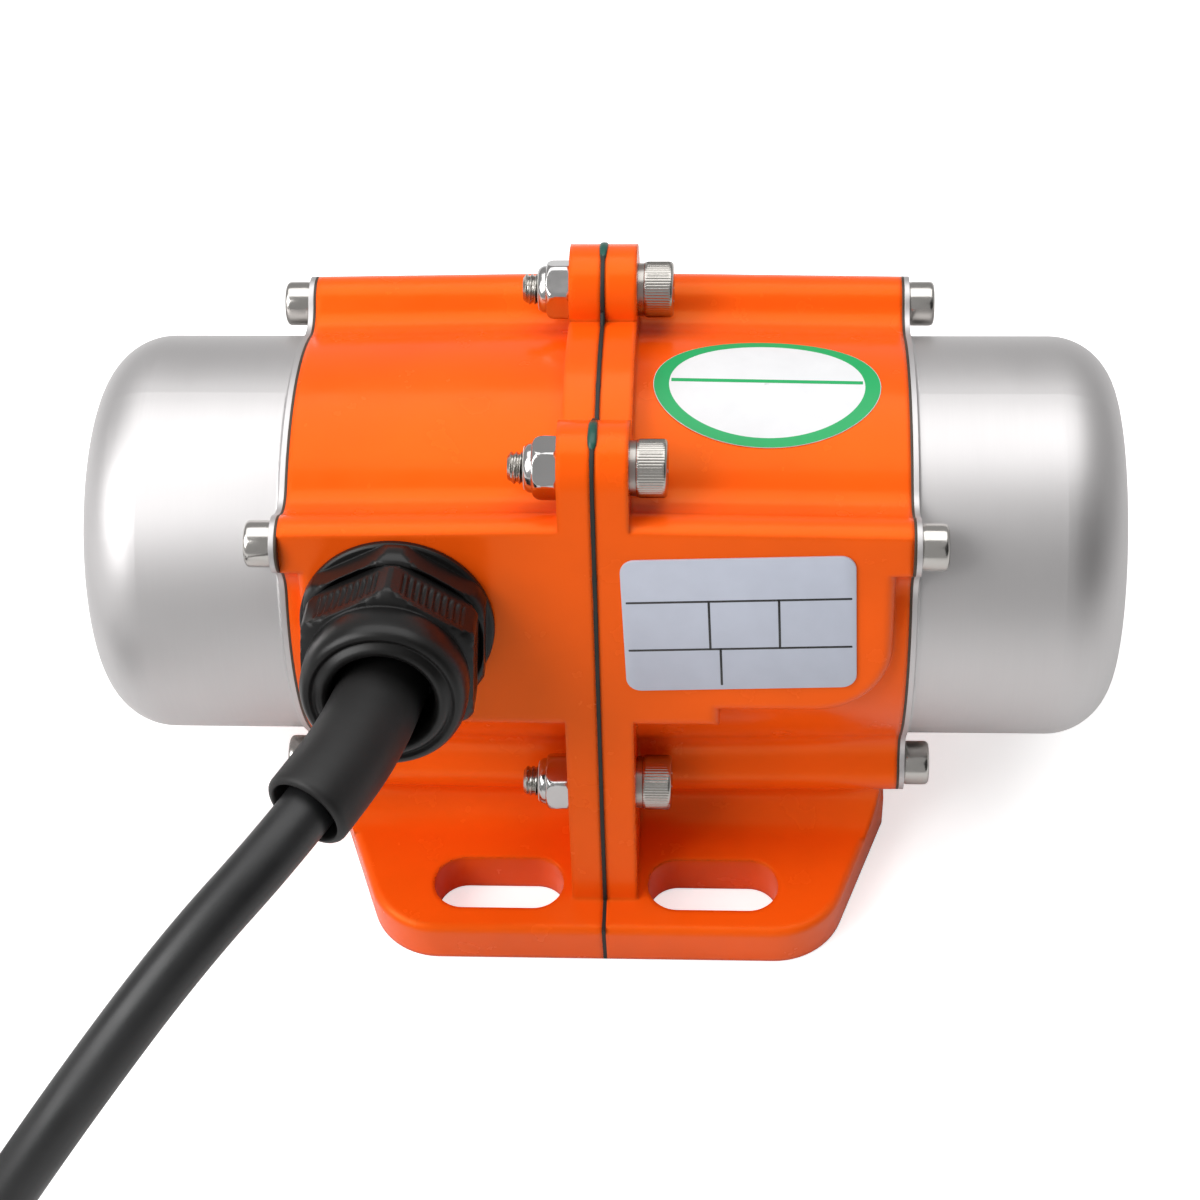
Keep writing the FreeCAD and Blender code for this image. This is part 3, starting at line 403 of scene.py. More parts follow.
class Palette:
    """The motor's materials, each built once when it is first asked for."""

    FINISHES = {
        "enamel": Enamel("orange_enamel", (0.93, 0.099, 0.004), 0.23),
        "gasket": Polymer("gasket_sheet", (0.008, 0.012, 0.01), 0.6, 0.00003, 900),
        "lining": Polymer("cap_lining", (0.05, 0.032, 0.018), 0.5, 0.00002, 900),
        "squeeze": Polymer("gasket_compound", (0.006, 0.075, 0.055), 0.38, 0.00004, 700),
        "cap": Metal("drawn_steel", (0.6, 0.585, 0.585), 0.5, Grain.ROUND, 0.0000002, 0.15),
        "bright": Metal("bright_screw_steel", (0.52, 0.5, 0.475), 0.17, Grain.NONE, 0.000001),
        "zinc": Metal("zinc_plate", (0.46, 0.44, 0.41), 0.2, Grain.NONE, 0.000001),
        "nut": Metal("nut_steel", (0.54, 0.53, 0.525), 0.14, Grain.NONE, 0.0000005),
        "nylon": Polymer("nylon", (0.62, 0.62, 0.58), 0.45),
        "spring": Metal("spring_steel", (0.4, 0.385, 0.36), 0.3, Grain.NONE, 0.000001),
        "ground": Metal("ground_steel", (0.6, 0.6, 0.61), 0.22, Grain.ROUND, 0.000002),
        "polished": Metal("ball_steel", (0.75, 0.75, 0.76), 0.08),
        "brass": Metal("cage_brass", (0.6, 0.38, 0.13), 0.35),
        "rolled": Metal("rolled_steel", (0.24, 0.24, 0.245), 0.45, Grain.ALONG, 0.00001),
        "cast": Metal("cast_aluminium", (0.6, 0.6, 0.61), 0.4, Grain.NONE, 0.00003),
        "core": Banded("core_laminations", (0.26, 0.27, 0.29), 0.45),
        "winding": Banded("varnished_copper", (0.55, 0.16, 0.05), 0.3, "DIAGONAL", 0.0006, wander=3.0,
                          dark=0.3, ramp=(0.1, 0.8), depth=0.00015, metallic=0.7, varnish=0.6),
        "gland": Polymer("gland_polyamide", (0.006, 0.0057, 0.0056), 0.34, 0.00001, 1500, 0.34),
        "rubber": Polymer("sleeve_rubber", (0.011, 0.0105, 0.0105), 0.5, 0.000012, 2200, 0.36),
        "sheath": Polymer("cable_sheath", (0.011, 0.011, 0.0115), 0.42, 0.00001, 2000),
        "core_brown": Polymer("core_brown", (0.12, 0.04, 0.015), 0.4),
        "foil": Printed("plate_foil", (0.5, 0.53, 0.62), 0.35),
        "ink": Printed("plate_ink", (0.01, 0.01, 0.011), 0.4),
        "paper": Printed("sticker_paper", (0.74, 0.74, 0.75), 0.5, 0.08),
        "green": Printed("sticker_green", (0.0, 0.36, 0.1), 0.5, 0.05),
    }

    def __init__(self) -> None:
        """Starts with no material built."""
        self.built: dict[str, bpy.types.Material] = {}

    def get(self, key: str) -> bpy.types.Material:
        """The material for the finish of that name in FINISHES, built if it is new."""
        if key not in self.built:
            self.built[key] = self.FINISHES[key].material()
        return self.built[key]


# Surfaces


def full_turn(steps: int) -> Grid:
    """Angles of one turn in even steps, in radians."""
    return np.linspace(0, 2 * np.pi, steps, endpoint=False)


def turned(rows: list[tuple[float | Grid, float]], steps: int) -> Grid:
    """Rings about Z: each point is its radius times (cos, sin) of its angle, at the ring's height.

    Args:
        rows: Radius of each ring, or of each of its points, and its height.
        steps: Number of points in a ring.

    Returns:
        The points, by ring and by step.
    """
    angle = full_turn(steps)
    radius = np.stack([row[0] * np.ones(steps) for row in rows])
    height = np.array([row[1] for row in rows])[:, None] * np.ones(steps)
    return np.stack([radius * np.cos(angle), radius * np.sin(angle), height], axis=-1)


def off_flat(angle: Grid) -> Grid:
    """Angle from the middle of a hexagon's nearest flat, a flat's middle being at zero."""
    return (angle + np.pi / 6) % (np.pi / 3) - np.pi / 6


def hexagon(angle: Grid, across: float) -> Grid:
    """Distance from a hexagon's middle to its side: half its width over flats, over the cosine of the
    angle from the nearest flat's middle."""
    return across / 2 / np.cos(off_flat(angle))


def run_of(line: Grid) -> Grid:
    """Length of a line from its first point to each of its points."""
    return np.concatenate([[0], np.cumsum(np.linalg.norm(np.diff(line, axis=0), axis=1))])


def turn_of(along: Grid, up: Grid) -> Grid:
    """Angles in degrees of places about the shaft, from the bottom at -90 round to 270."""
    return (np.degrees(np.arctan2(up, along)) + 90) % 360 - 90


def round_shaft(x: Grid, radius: Grid, turn: Grid) -> Grid:
    """Points about the shaft's line: along X, and out by a radius at an angle.

    Args:
        x: Place along X in metres.
        radius: Distance from the line in metres.
        turn: Angle in degrees.

    Returns:
        The points in metres.
    """
    swing = np.radians(turn)
    return np.stack([x, -radius * np.cos(swing), SHAFT_HEIGHT * MM + radius * np.sin(swing)],
                    axis=-1)


def from_boss(points: Grid) -> Grid:
    """Carries points in the cable boss's own directions to the model: along X, up the tilted face from
    the shaft's level, and outward from the shaft's line.

    Args:
        points: Points in millimetres.

    Returns:
        The points in metres.
    """
    swing = math.radians(BOSS_TILT)
    rise, out = points[..., 1], points[..., 2]
    y = rise * math.sin(swing) - out * math.cos(swing)
    z = SHAFT_HEIGHT + rise * math.cos(swing) + out * math.sin(swing)
    return np.stack([points[..., 0], y, z], axis=-1) * MM


def skinned(rings: Grid, loop: bool = False) -> Mesh:
    """Closed surface over rings of points: four-cornered faces between neighbours, and a flat face over
    the first and the last ring, unless the last ring joins the first.

    Args:
        rings: Points by ring and by step.
        loop: True if the last ring joins the first.

    Returns:
        The vertices and the faces.
    """
    rows, columns = rings.shape[:2]
    row, column = np.meshgrid(np.arange(rows if loop else rows - 1), np.arange(columns),
                              indexing="ij")
    after, across = (row + 1) % rows, (column + 1) % columns
    corners = np.stack([row * columns + column, row * columns + across,
                        after * columns + across, after * columns + column], axis=-1)
    faces = corners.reshape(-1, 4).tolist()
    if not loop:
        last = (rows - 1) * columns
        faces.append(list(range(columns - 1, -1, -1)))
        faces.append(list(range(last, last + columns)))
    return rings.reshape(-1, 3), faces


def joined(surfaces: list[Mesh]) -> Mesh:
    """Several meshes in one: each one's faces count on from the meshes before.

    Args:
        surfaces: Vertices and faces of each.

    Returns:
        The vertices and the faces.
    """
    starts = np.cumsum([0] + [len(points) for points, _ in surfaces])
    faces = [[corner + int(start) for corner in face]
             for start, (_, mesh) in zip(starts, surfaces) for face in mesh]
    return np.concatenate([points for points, _ in surfaces]), faces


def repeated(surface: Mesh, places: list[Matrix]) -> Mesh:
    """Copies of one mesh in one, each carried by its matrix.

    Args:
        surface: Vertices and faces.
        places: Matrix of each copy.

    Returns:
        The vertices and the faces.
    """
    vertices, faces = surface
    return joined([(vertices @ np.array(m.to_3x3()).T + np.array(m.translation), faces)
                   for m in places])


def rings_across(path: Grid, direction: Grid, radius: Grid, steps: int) -> Grid:
    """Rings round a path, each across the path's direction there and with its own radius.

    Args:
        path: Middle of each ring.
        direction: Direction of the path at each ring.
        radius: Radius of each ring.
        steps: Number of points in a ring.

    Returns:
        The points, by ring and by step.
    """
    along = direction / np.linalg.norm(direction, axis=1, keepdims=True)
    side = np.cross(along, (0.0, 0.0, 1.0))
    side /= np.linalg.norm(side, axis=1, keepdims=True)
    over = np.cross(side, along)
    angle = full_turn(steps)
    spokes = (side[:, None] * np.cos(angle)[None, :, None]
              + over[:, None] * np.sin(angle)[None, :, None])
    return path[:, None] + np.reshape(radius, (-1, 1, 1)) * spokes


def rounded_outline(length: float, width: float, corner: float, steps: int = 8) -> Grid:
    """Outline of a rectangle with quarter circles for corners, counter-clockwise about its middle.

    Args:
        length: Size along the first axis.
        width: Size along the second axis.
        corner: Radius of the corners.
        steps: Number of points on each corner.

    Returns:
        The points, in two coordinates.
    """
    angle = np.linspace(0, np.pi / 2, steps)
    points = []
    for quarter, (a, b) in enumerate(((1, 1), (-1, 1), (-1, -1), (1, -1))):
        turn = angle + quarter * np.pi / 2
        centre = np.array([a * (length / 2 - corner), b * (width / 2 - corner)])
        points.append(centre + corner * np.stack([np.cos(turn), np.sin(turn)], axis=-1))
    return np.concatenate(points)


def slab(outline: Grid, thickness: float, edge: float) -> Grid:
    """Rings of a thin plate: its outline at the bottom, at the foot of the edge, and drawn in at the top.

    Args:
        outline: Points in two coordinates, about their middle.
        thickness: Height of the plate.
        edge: Width and height of the softened edge.

    Returns:
        The points, by ring and by step.
    """
    inward = outline / np.linalg.norm(outline, axis=1, keepdims=True)
    levels = ((0, 0.0), (0, thickness - edge), (0.3 * edge, thickness - 0.3 * edge),
              (edge, thickness))
    return np.stack([np.column_stack([outline - shift * inward, np.full(len(outline), height)])
                     for shift, height in levels])


def linked(name: str, data: bpy.types.ID) -> bpy.types.Object:
    """Adds an object to the scene.

    Args:
        name: Name of the object.
        data: What it shows.

    Returns:
        The object.
    """
    thing = bpy.data.objects.new(name, data)
    bpy.context.scene.collection.objects.link(thing)
    return thing


class Workshop:
    """Makes objects from meshes and dresses the frame's nodes.

    SMOOTH is the largest angle between faces that is shaded smooth, in degrees.
    """

    SMOOTH = 35.0

    def __init__(self, frame: dict) -> None:
        """Keeps the frame and starts the palette.
        """
        self.nodes = frame["nodes"]
        self.palette = Palette()

    def dress(self, finish: str, *names: str) -> None:
        """Gives nodes of the frame a finish.

        Args:
            finish: Name of the finish.
            names: Names of the nodes.
        """
        for name in names:
            materials = self.nodes[name].data.materials
            materials.clear()
            materials.append(self.palette.get(finish))
            LOG.info("%s: %s", name, finish)

    def piece(self, name: str, surface: Mesh, finish: str) -> bpy.types.Object:
        """Makes an object from a mesh and lets it ride on the stator.

        Args:
            name: Name of the piece.
            surface: Vertices in metres, and the corners of each face.
            finish: Name of its finish.

        Returns:
            The object.
        """
        mesh = bpy.data.meshes.new(name)
        mesh.from_pydata(surface[0].tolist(), [], surface[1])
        mesh.shade_smooth()
        mesh.set_sharp_from_angle(angle=math.radians(self.SMOOTH))
        mesh.materials.append(self.palette.get(finish))
        thing = linked(name, mesh)
        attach(thing, "stator")
        LOG.info("%s: %d faces", name, len(mesh.polygons))
        return thing


# Fasteners


@dataclass(frozen=True)
class SocketScrew:
    """Socket head screw along Z, its seat at height 0 and its head above.

    Lengths are in metres; ridges is the number of grip ridges round the head, or 0 for a plain one.
    """

    head_radius: float
    head_height: float
    socket: float
    shank_radius: float
    length: float
    pitch: float
    thread_length: float
    rim: float
    ridges: int = 0
    ridge_depth: float = 0.0
    plain_steps: int = 48

    def surface(self) -> Mesh:
        """Rings from the socket's floor over the head and down the shank, skinned.

        The grip ridges are a triangle wave of the angle; the thread is a triangle wave of the height
        plus the part of a turn, so its groove climbs one pitch a turn.

        Returns:
            The vertices and the faces.
        """
        steps = self.ridges * 4 if self.ridges else self.plain_steps
        turn = full_turn(steps) / (2 * np.pi)
        flat = hexagon(full_turn(steps), self.socket)
        top, outer, rim = self.head_height, self.head_radius, self.rim
        grip = outer - self.ridge_depth * 2 * np.abs((turn * self.ridges) % 1 - 0.5)
        socket_floor, mouth = 0.45 * top, 1.06 * self.socket / math.sqrt(3)
        rows = [(0.96 * flat, socket_floor), (flat, socket_floor + 0.02 * top),
                (flat, top - 0.05 * self.socket), (mouth, top), (outer - rim, top)]
        for swing in np.linspace(0, np.pi / 2, 6)[1:-1]:
            rows.append((outer - rim + rim * math.sin(swing), top - rim + rim * math.cos(swing)))
        rows += [(grip, top - 1.25 * rim), (grip, 0.9 * rim), (0.985 * outer, 0.5 * rim),
                 (0.97 * outer, 0.0), (self.shank_radius, 0.0)]
        start, end = self.thread_length - self.length, -self.length
        groove = 0.54 * self.pitch
        for height in np.arange(start, end + 0.5 * self.pitch, -self.pitch / 4):
            phase = (height / self.pitch + turn) % 1
            rows.append((self.shank_radius - groove * 2 * np.abs(phase - 0.5), height))
        rows.append((self.shank_radius - 0.8 * self.pitch, end))
        return skinned(turned(rows, steps)[::-1])


@dataclass(frozen=True)
class LockNut:
    """Lock nut along Z, its seat at height 0, with a rounded collar over its insert.

    Lengths are in metres. The corners lie a little inside a sharp hexagon's, and the cone at the seat
    starts at seat_share of them.
    """

    across: float = 0.0083
    hexagon_height: float = 0.0038
    height: float = 0.0052
    bore: float = 0.0025
    collar_radius: float = 0.0037
    dome_start: float = 0.0023
    cone_height: float = 0.00045
    corner_share: float = 0.985
    seat_share: float = 0.93
    bore_edge: float = 0.0001
    steps: int = 96

    def surface(self) -> Mesh:
        """Rings up the outside and back down the bore, skinned as a loop.

        The hexagon is cut by a round cap at both ends: a short cone at the seat, and at the top a
        quarter ellipse that ends on the collar.

        Returns:
            The vertices and the faces.
        """
        flat = hexagon(full_turn(self.steps), self.across)
        corner = self.corner_share * self.across / math.sqrt(3)
        rows = [(self.bore, 0.0), (0.92 * corner, 0.0)]
        for share in np.linspace(0, 1, 5):
            cap = corner * (self.seat_share + (1 - self.seat_share) * share)
            rows.append((np.minimum(flat, cap), self.cone_height * share))
        rise = self.hexagon_height - self.dome_start
        for share in np.linspace(0, 1, 14):
            cap = self.collar_radius + (corner - self.collar_radius) * math.sqrt(1 - share ** 2)
            rows.append((np.minimum(flat, cap), self.dome_start + rise * share))
        edge = self.height - self.hexagon_height
        for swing in np.linspace(0.25, 1, 8) * np.pi / 2:
            rows.append((self.collar_radius - 0.9 * edge * (1 - math.cos(swing)),
                         self.hexagon_height + edge * math.sin(swing)))
        rows += [(1.12 * self.bore, self.height - self.bore_edge),
                 (self.bore, self.height - 4 * self.bore_edge)]
        return skinned(turned(rows, self.steps), True)


@dataclass(frozen=True)
class BoltCircle:
    """Places of fasteners on a circle round the shaft, its radius in metres.

    The first one is turned about itself by roll, and each next one by roll_step more, in degrees.
    """

    radius: float
    angles: tuple[float, ...]
    roll: float
    roll_step: float

    def places(self, seat: float, side: Side) -> list[Matrix]:
        """Matrices that lay a fastener along X at each angle.

        Args:
            seat: Place of the seat along X.
            side: End that the head points to.

        Returns:
            The matrices.
        """
        towards = Matrix.Rotation(math.radians(90 * side.value), 4, "Y")
        matrices = []
        for i, angle in enumerate(self.angles):
            centre = Matrix.Translation(round_shaft(seat, self.radius, angle))
            roll = Matrix.Rotation(math.radians(self.roll + self.roll_step * i), 4, "Z")
            matrices.append(centre @ towards @ roll)
        return matrices


@dataclass
class EndFasteners:
    """The cap screws, and the flange screws with their nuts and washers."""

    shop: Workshop
    cap_screw: SocketScrew = SocketScrew(
        head_radius=0.0035, head_height=0.004, socket=0.003, shank_radius=0.00195, length=0.012,
        pitch=0.0007, thread_length=0.009, rim=0.0007)
    flange_screw: SocketScrew = SocketScrew(
        head_radius=0.0043, head_height=0.0045, socket=0.004, shank_radius=0.00245, length=0.0188,
        pitch=0.0008, thread_length=0.0045, rim=0.0006, ridges=60, ridge_depth=0.00013)
    nut: LockNut = LockNut()
    cap_circle: BoltCircle = BoltCircle(0.0366, (45, 135, 225, 315), 8, 37)
    screw_circle: BoltCircle = BoltCircle(FLANGE_RING * MM, FLANGE_ANGLES, 5, 21)
    nut_circle: BoltCircle = BoltCircle(FLANGE_RING * MM, FLANGE_ANGLES, 12, 17)

    def build(self) -> None:
        """Makes the screws and nuts and dresses the inserts and washers."""
        for side in Side:
            node = side.word + "_cap_screws"
            low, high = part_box(node)
            face = high[0] if side is Side.RIGHT else low[0]
            places = self.cap_circle.places(face - side.value * self.cap_screw.head_height, side)
            screws = self.shop.piece(side.word + "_cap_socket_screws",
                                     repeated(self.cap_screw.surface(), places), "bright")
            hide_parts(node)
        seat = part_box("flange_screws")[1][0] - self.flange_screw.head_height
        places = self.screw_circle.places(seat, Side.RIGHT)
        screws = self.shop.piece("flange_socket_screws",
                                 repeated(self.flange_screw.surface(), places), "zinc")
        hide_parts("flange_screws")
        places = self.nut_circle.places(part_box("lock_nuts")[1][0], Side.LEFT)
        nuts = self.shop.piece("flange_lock_nuts", repeated(self.nut.surface(), places), "nut")
        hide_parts("lock_nuts")
        self.shop.dress("nylon", "lock_nut_inserts")
        self.shop.dress("spring", "spring_washers")


# Housing and caps


@dataclass
class Shell:
    """The cast housing halves with the gasket between them, and the drawn end caps.

    Lengths are in metres and angles in degrees. Each swell has its middle's and its half's angle and
    what it adds to the line's height and half width, and each ripple its share, waves and phase.
    """

    shop: Workshop
    bolt_hole: float = 0.0034
    inner_edge: float = 0.0355
    edge_step: float = 0.0002
    line: Pair = (14.0, 166.0)
    line_half_width: float = 0.00031
    line_height: float = 0.00005
    line_sunk: float = 0.00012
    ripples: tuple[Triple, ...] = ((0.2, 31, 0), (0.12, 77, 2))
    swells: tuple[tuple[float, float, float, float], ...] = (
        (66.0, 3.6, 0.0004, 0.0004), (117.0, 4.0, 0.00014, 0.00028))
    swell_reach: float = 1.25
    runout: float = 2.0

    def outline(self, node: str, start: float, end: float) -> tuple[Grid, Grid]:
        """Outer edge of a flat node about the shaft's line, read from its mesh without its bolt holes.

        The edge's corners are put in order of their angle and joined by straight runs, which are then
        divided evenly.

        Args:
            node: Name of the node.
            start: Angle where the edge starts.
            end: Angle where it ends.

        Returns:
            The angles and the radii along the edge.
        """
        mesh = self.shop.nodes[node].data
        points = np.empty(len(mesh.vertices) * 3, dtype=np.float32)
        mesh.vertices.foreach_get("co", points)
        points = points.reshape(-1, 3).astype(float)
        place = np.column_stack([-points[:, 1], points[:, 2] - SHAFT_HEIGHT * MM])
        place = np.unique(place.round(6), axis=0)
        swing = np.radians(FLANGE_ANGLES)
        bolts = FLANGE_RING * MM * np.column_stack([np.cos(swing), np.sin(swing)])
        away = np.linalg.norm(place[:, None] - bolts[None], axis=2).min(axis=1)
        place = place[(away > self.bolt_hole) & (np.hypot(*place.T) > self.inner_edge)]
        place = place[np.argsort(turn_of(*place.T))]
        run = run_of(place)
        even = np.arange(0, run[-1], self.edge_step)
        along, up = (np.interp(even, run, place[:, axis]) for axis in range(2))
        turn = turn_of(along, up)
        inside = (turn > start) & (turn < end)
        return turn[inside], np.hypot(along, up)[inside]

    def bead(self, start: float, end: float, swelling: bool) -> Grid:
        """Rings of the compound that the joint squeezes out along the upper edge of the flange.

        Each ring is a flat half oval over the gasket's edge. It is thin and low, and a bell curve of
        the angle for each swell adds to its height and width; it runs out at both ends.

        Args:
            start: Angle where it starts.
            end: Angle where it ends.
            swelling: True to add the swells.

        Returns:
            The points, by ring and by step.
        """
        turn, base = self.outline("joint_gasket", start, end)
        swing = np.radians(turn)
        ripple = 1 + sum(share * np.sin(waves * swing + phase)
                         for share, waves, phase in self.ripples)
        high, wide = self.line_height * ripple, self.line_half_width * ripple ** 0.5
        for centre, spread, height, width in self.swells if swelling else ():
            bell = np.exp(-((turn - centre) / spread) ** 4)
            high, wide = high + height * bell, wide + width * bell
        fade = np.clip(np.minimum(turn - start, end - turn) / self.runout, 0.02, 1)
        half = np.linspace(0, np.pi, 9)
        across = np.outer(wide * fade ** 0.3, np.cos(half))
        over = np.outer(high * fade, np.sin(half))
        return round_shaft(across, base[:, None] - self.line_sunk + over, turn[:, None])

    def build(self) -> None:
        """Dresses the castings, the gaskets and the caps and lays the bead."""
        self.shop.dress("enamel", "left_housing", "right_housing")
        self.shop.dress("gasket", "joint_gasket")
        self.shop.piece("gasket_line", skinned(self.bead(*self.line, False)), "gasket")
        for centre, spread, _, _ in self.swells:
            reach = self.swell_reach * spread
            self.shop.piece(f"gasket_swell_{centre:.0f}",
                            skinned(self.bead(centre - reach, centre + reach, True)), "squeeze")
        self.shop.dress("cap", "left_end_cap", "right_end_cap")
        self.shop.dress("lining", "left_cap_gasket", "right_cap_gasket")


# Cable and gland


@dataclass
class Gland:
    """The gland's body on the boss and its dome nut, in millimetres along its own line.

    Each row of a profile is a height over the boss and the radius of a round cap there; the flats of a
    hexagon cut the caps where its width over flats is given.
    """

    shop: Workshop
    x: float = -29.5
    rise: float = 6.2
    nipple_rise: float = 5.2
    flat_angle: float = 56.5
    steps: int = 720
    nipple_steps: int = 96
    nipple: tuple[Pair, ...] = (
        (0.6, 6.0), (-7.5, 6.0), (-7.5, 9.4), (-7.0, 9.9), (0.6, 9.9), (0.6, 9.0))
    body_collar: tuple[Pair, ...] = (
        (0.0, 9.9), (0.02, 14.2), (0.25, 14.5), (1.0, 14.5), (1.3, 14.2), (1.35, 9.9))
    body_across: float = 26.6
    body_hexagon: tuple[Pair, ...] = (
        (1.2, 9.9), (1.3, 14.5), (1.7, 14.75), (3.6, 14.75), (4.4, 14.5), (5.0, 14.15),
        (5.3, 13.8), (5.35, 13.4), (4.6, 12.6), (3.9, 11.6), (3.9, 9.9))
    nut_across: float = 25.0
    nut_hexagon: tuple[Pair, ...] = (
        (3.95, 9.9), (4.2, 12.0), (5.1, 13.3), (5.8, 13.9), (6.5, 14.2), (6.9, 14.25),
        (7.3, 14.25), (7.7, 14.25), (11.4, 14.25), (11.8, 14.25), (12.2, 14.2), (12.6, 14.0),
        (13.1, 13.4), (13.4, 12.8), (13.55, 12.1))
    nut_dome: tuple[Pair, ...] = (
        (13.7, 12.0), (14.6, 12.1), (16.5, 12.15), (18.1, 12.05), (18.9, 11.8), (19.5, 11.4),
        (19.85, 10.95), (19.9, 10.5), (19.7, 10.15), (19.6, 9.9), (19.8, 9.6), (20.2, 9.25),
        (20.45, 8.8), (20.45, 8.35), (20.15, 7.9), (19.5, 7.6), (18.0, 7.45), (12.0, 7.4),
        (8.0, 7.4), (7.0, 9.0), (3.95, 9.8))
    rib_zone: Pair = (7.1, 12.0)
    rib_pitch: float = 1.13
    rib_share: float = 0.36
    rib_depth: float = 0.42
    rib_end: float = 0.5
    rib_side: float = 0.2

    def angles(self) -> Grid:
        """Angles round the gland, from the middle of a flat."""
        return full_turn(self.steps) - math.radians(self.flat_angle)

    def caps(self, profile: tuple[Pair, ...], steps: int) -> tuple[Grid, Grid]:
        """Height of each row of a profile, and its cap's radius at each step."""
        heights, radii = np.array(profile).T
        return heights, radii[:, None] * np.ones(steps)

    def ribs(self, height: Grid) -> Grid:
        """Depth of the grooves between the grip ribs: a cosine wave along each flat, faded out past
        the flat's middle part and past the rib zone's ends.

        Args:
            height: Height of each row.

        Returns:
            The depths, by row and by step.
        """
        along = self.nut_across / 2 * np.tan(off_flat(self.angles()))
        reach = self.rib_share * self.nut_across / math.sqrt(3)
        across = np.clip((reach - np.abs(along)) / self.rib_side, 0, 1)
        low, high = self.rib_zone
        up = np.clip(np.minimum(height - low, high - height) / self.rib_end, 0, 1)
        wave = 0.5 - 0.5 * np.cos(2 * np.pi * along / self.rib_pitch)
        return self.rib_depth * np.outer(up, wave * across)

    def placed(self, height: Grid, radius: Grid, rise: float) -> Mesh:
        """Surface round the gland's line, carried to the boss and skinned as a loop.

        Args:
            height: Height of each row over the boss.
            radius: Radii by row and by step.
            rise: Place of the line up the boss's face.

        Returns:
            The vertices in metres and the faces.
        """
        rings = turned(list(zip(radius, height)), radius.shape[1])
        return skinned(from_boss(rings + np.array([self.x, rise, BOSS_FACE])), True)

    def build(self) -> None:
        """Makes the body with its nipple, and the dome nut, and dresses the seal."""
        collar = self.placed(*self.caps(self.body_collar, self.steps), self.rise)
        height, radius = self.caps(self.body_hexagon, self.steps)
        radius = np.minimum(radius, hexagon(self.angles(), self.body_across))
        nipple = self.placed(*self.caps(self.nipple, self.nipple_steps), self.nipple_rise)
        body = self.shop.piece(
            "gland_base", joined([collar, self.placed(height, radius, self.rise), nipple]), "gland")
        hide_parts("gland_body", "gland_washer")
        height, radius = self.caps(self.nut_hexagon + self.nut_dome, self.steps)
        radius = np.minimum(radius, hexagon(self.angles(), self.nut_across))
        ribbed = slice(len(self.nut_hexagon))
        radius[ribbed] -= self.ribs(height[ribbed])
        nut = self.shop.piece("gland_dome_nut", self.placed(height, radius, self.rise), "gland")
        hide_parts("gland_nut")
        self.shop.dress("rubber", "gland_seal")


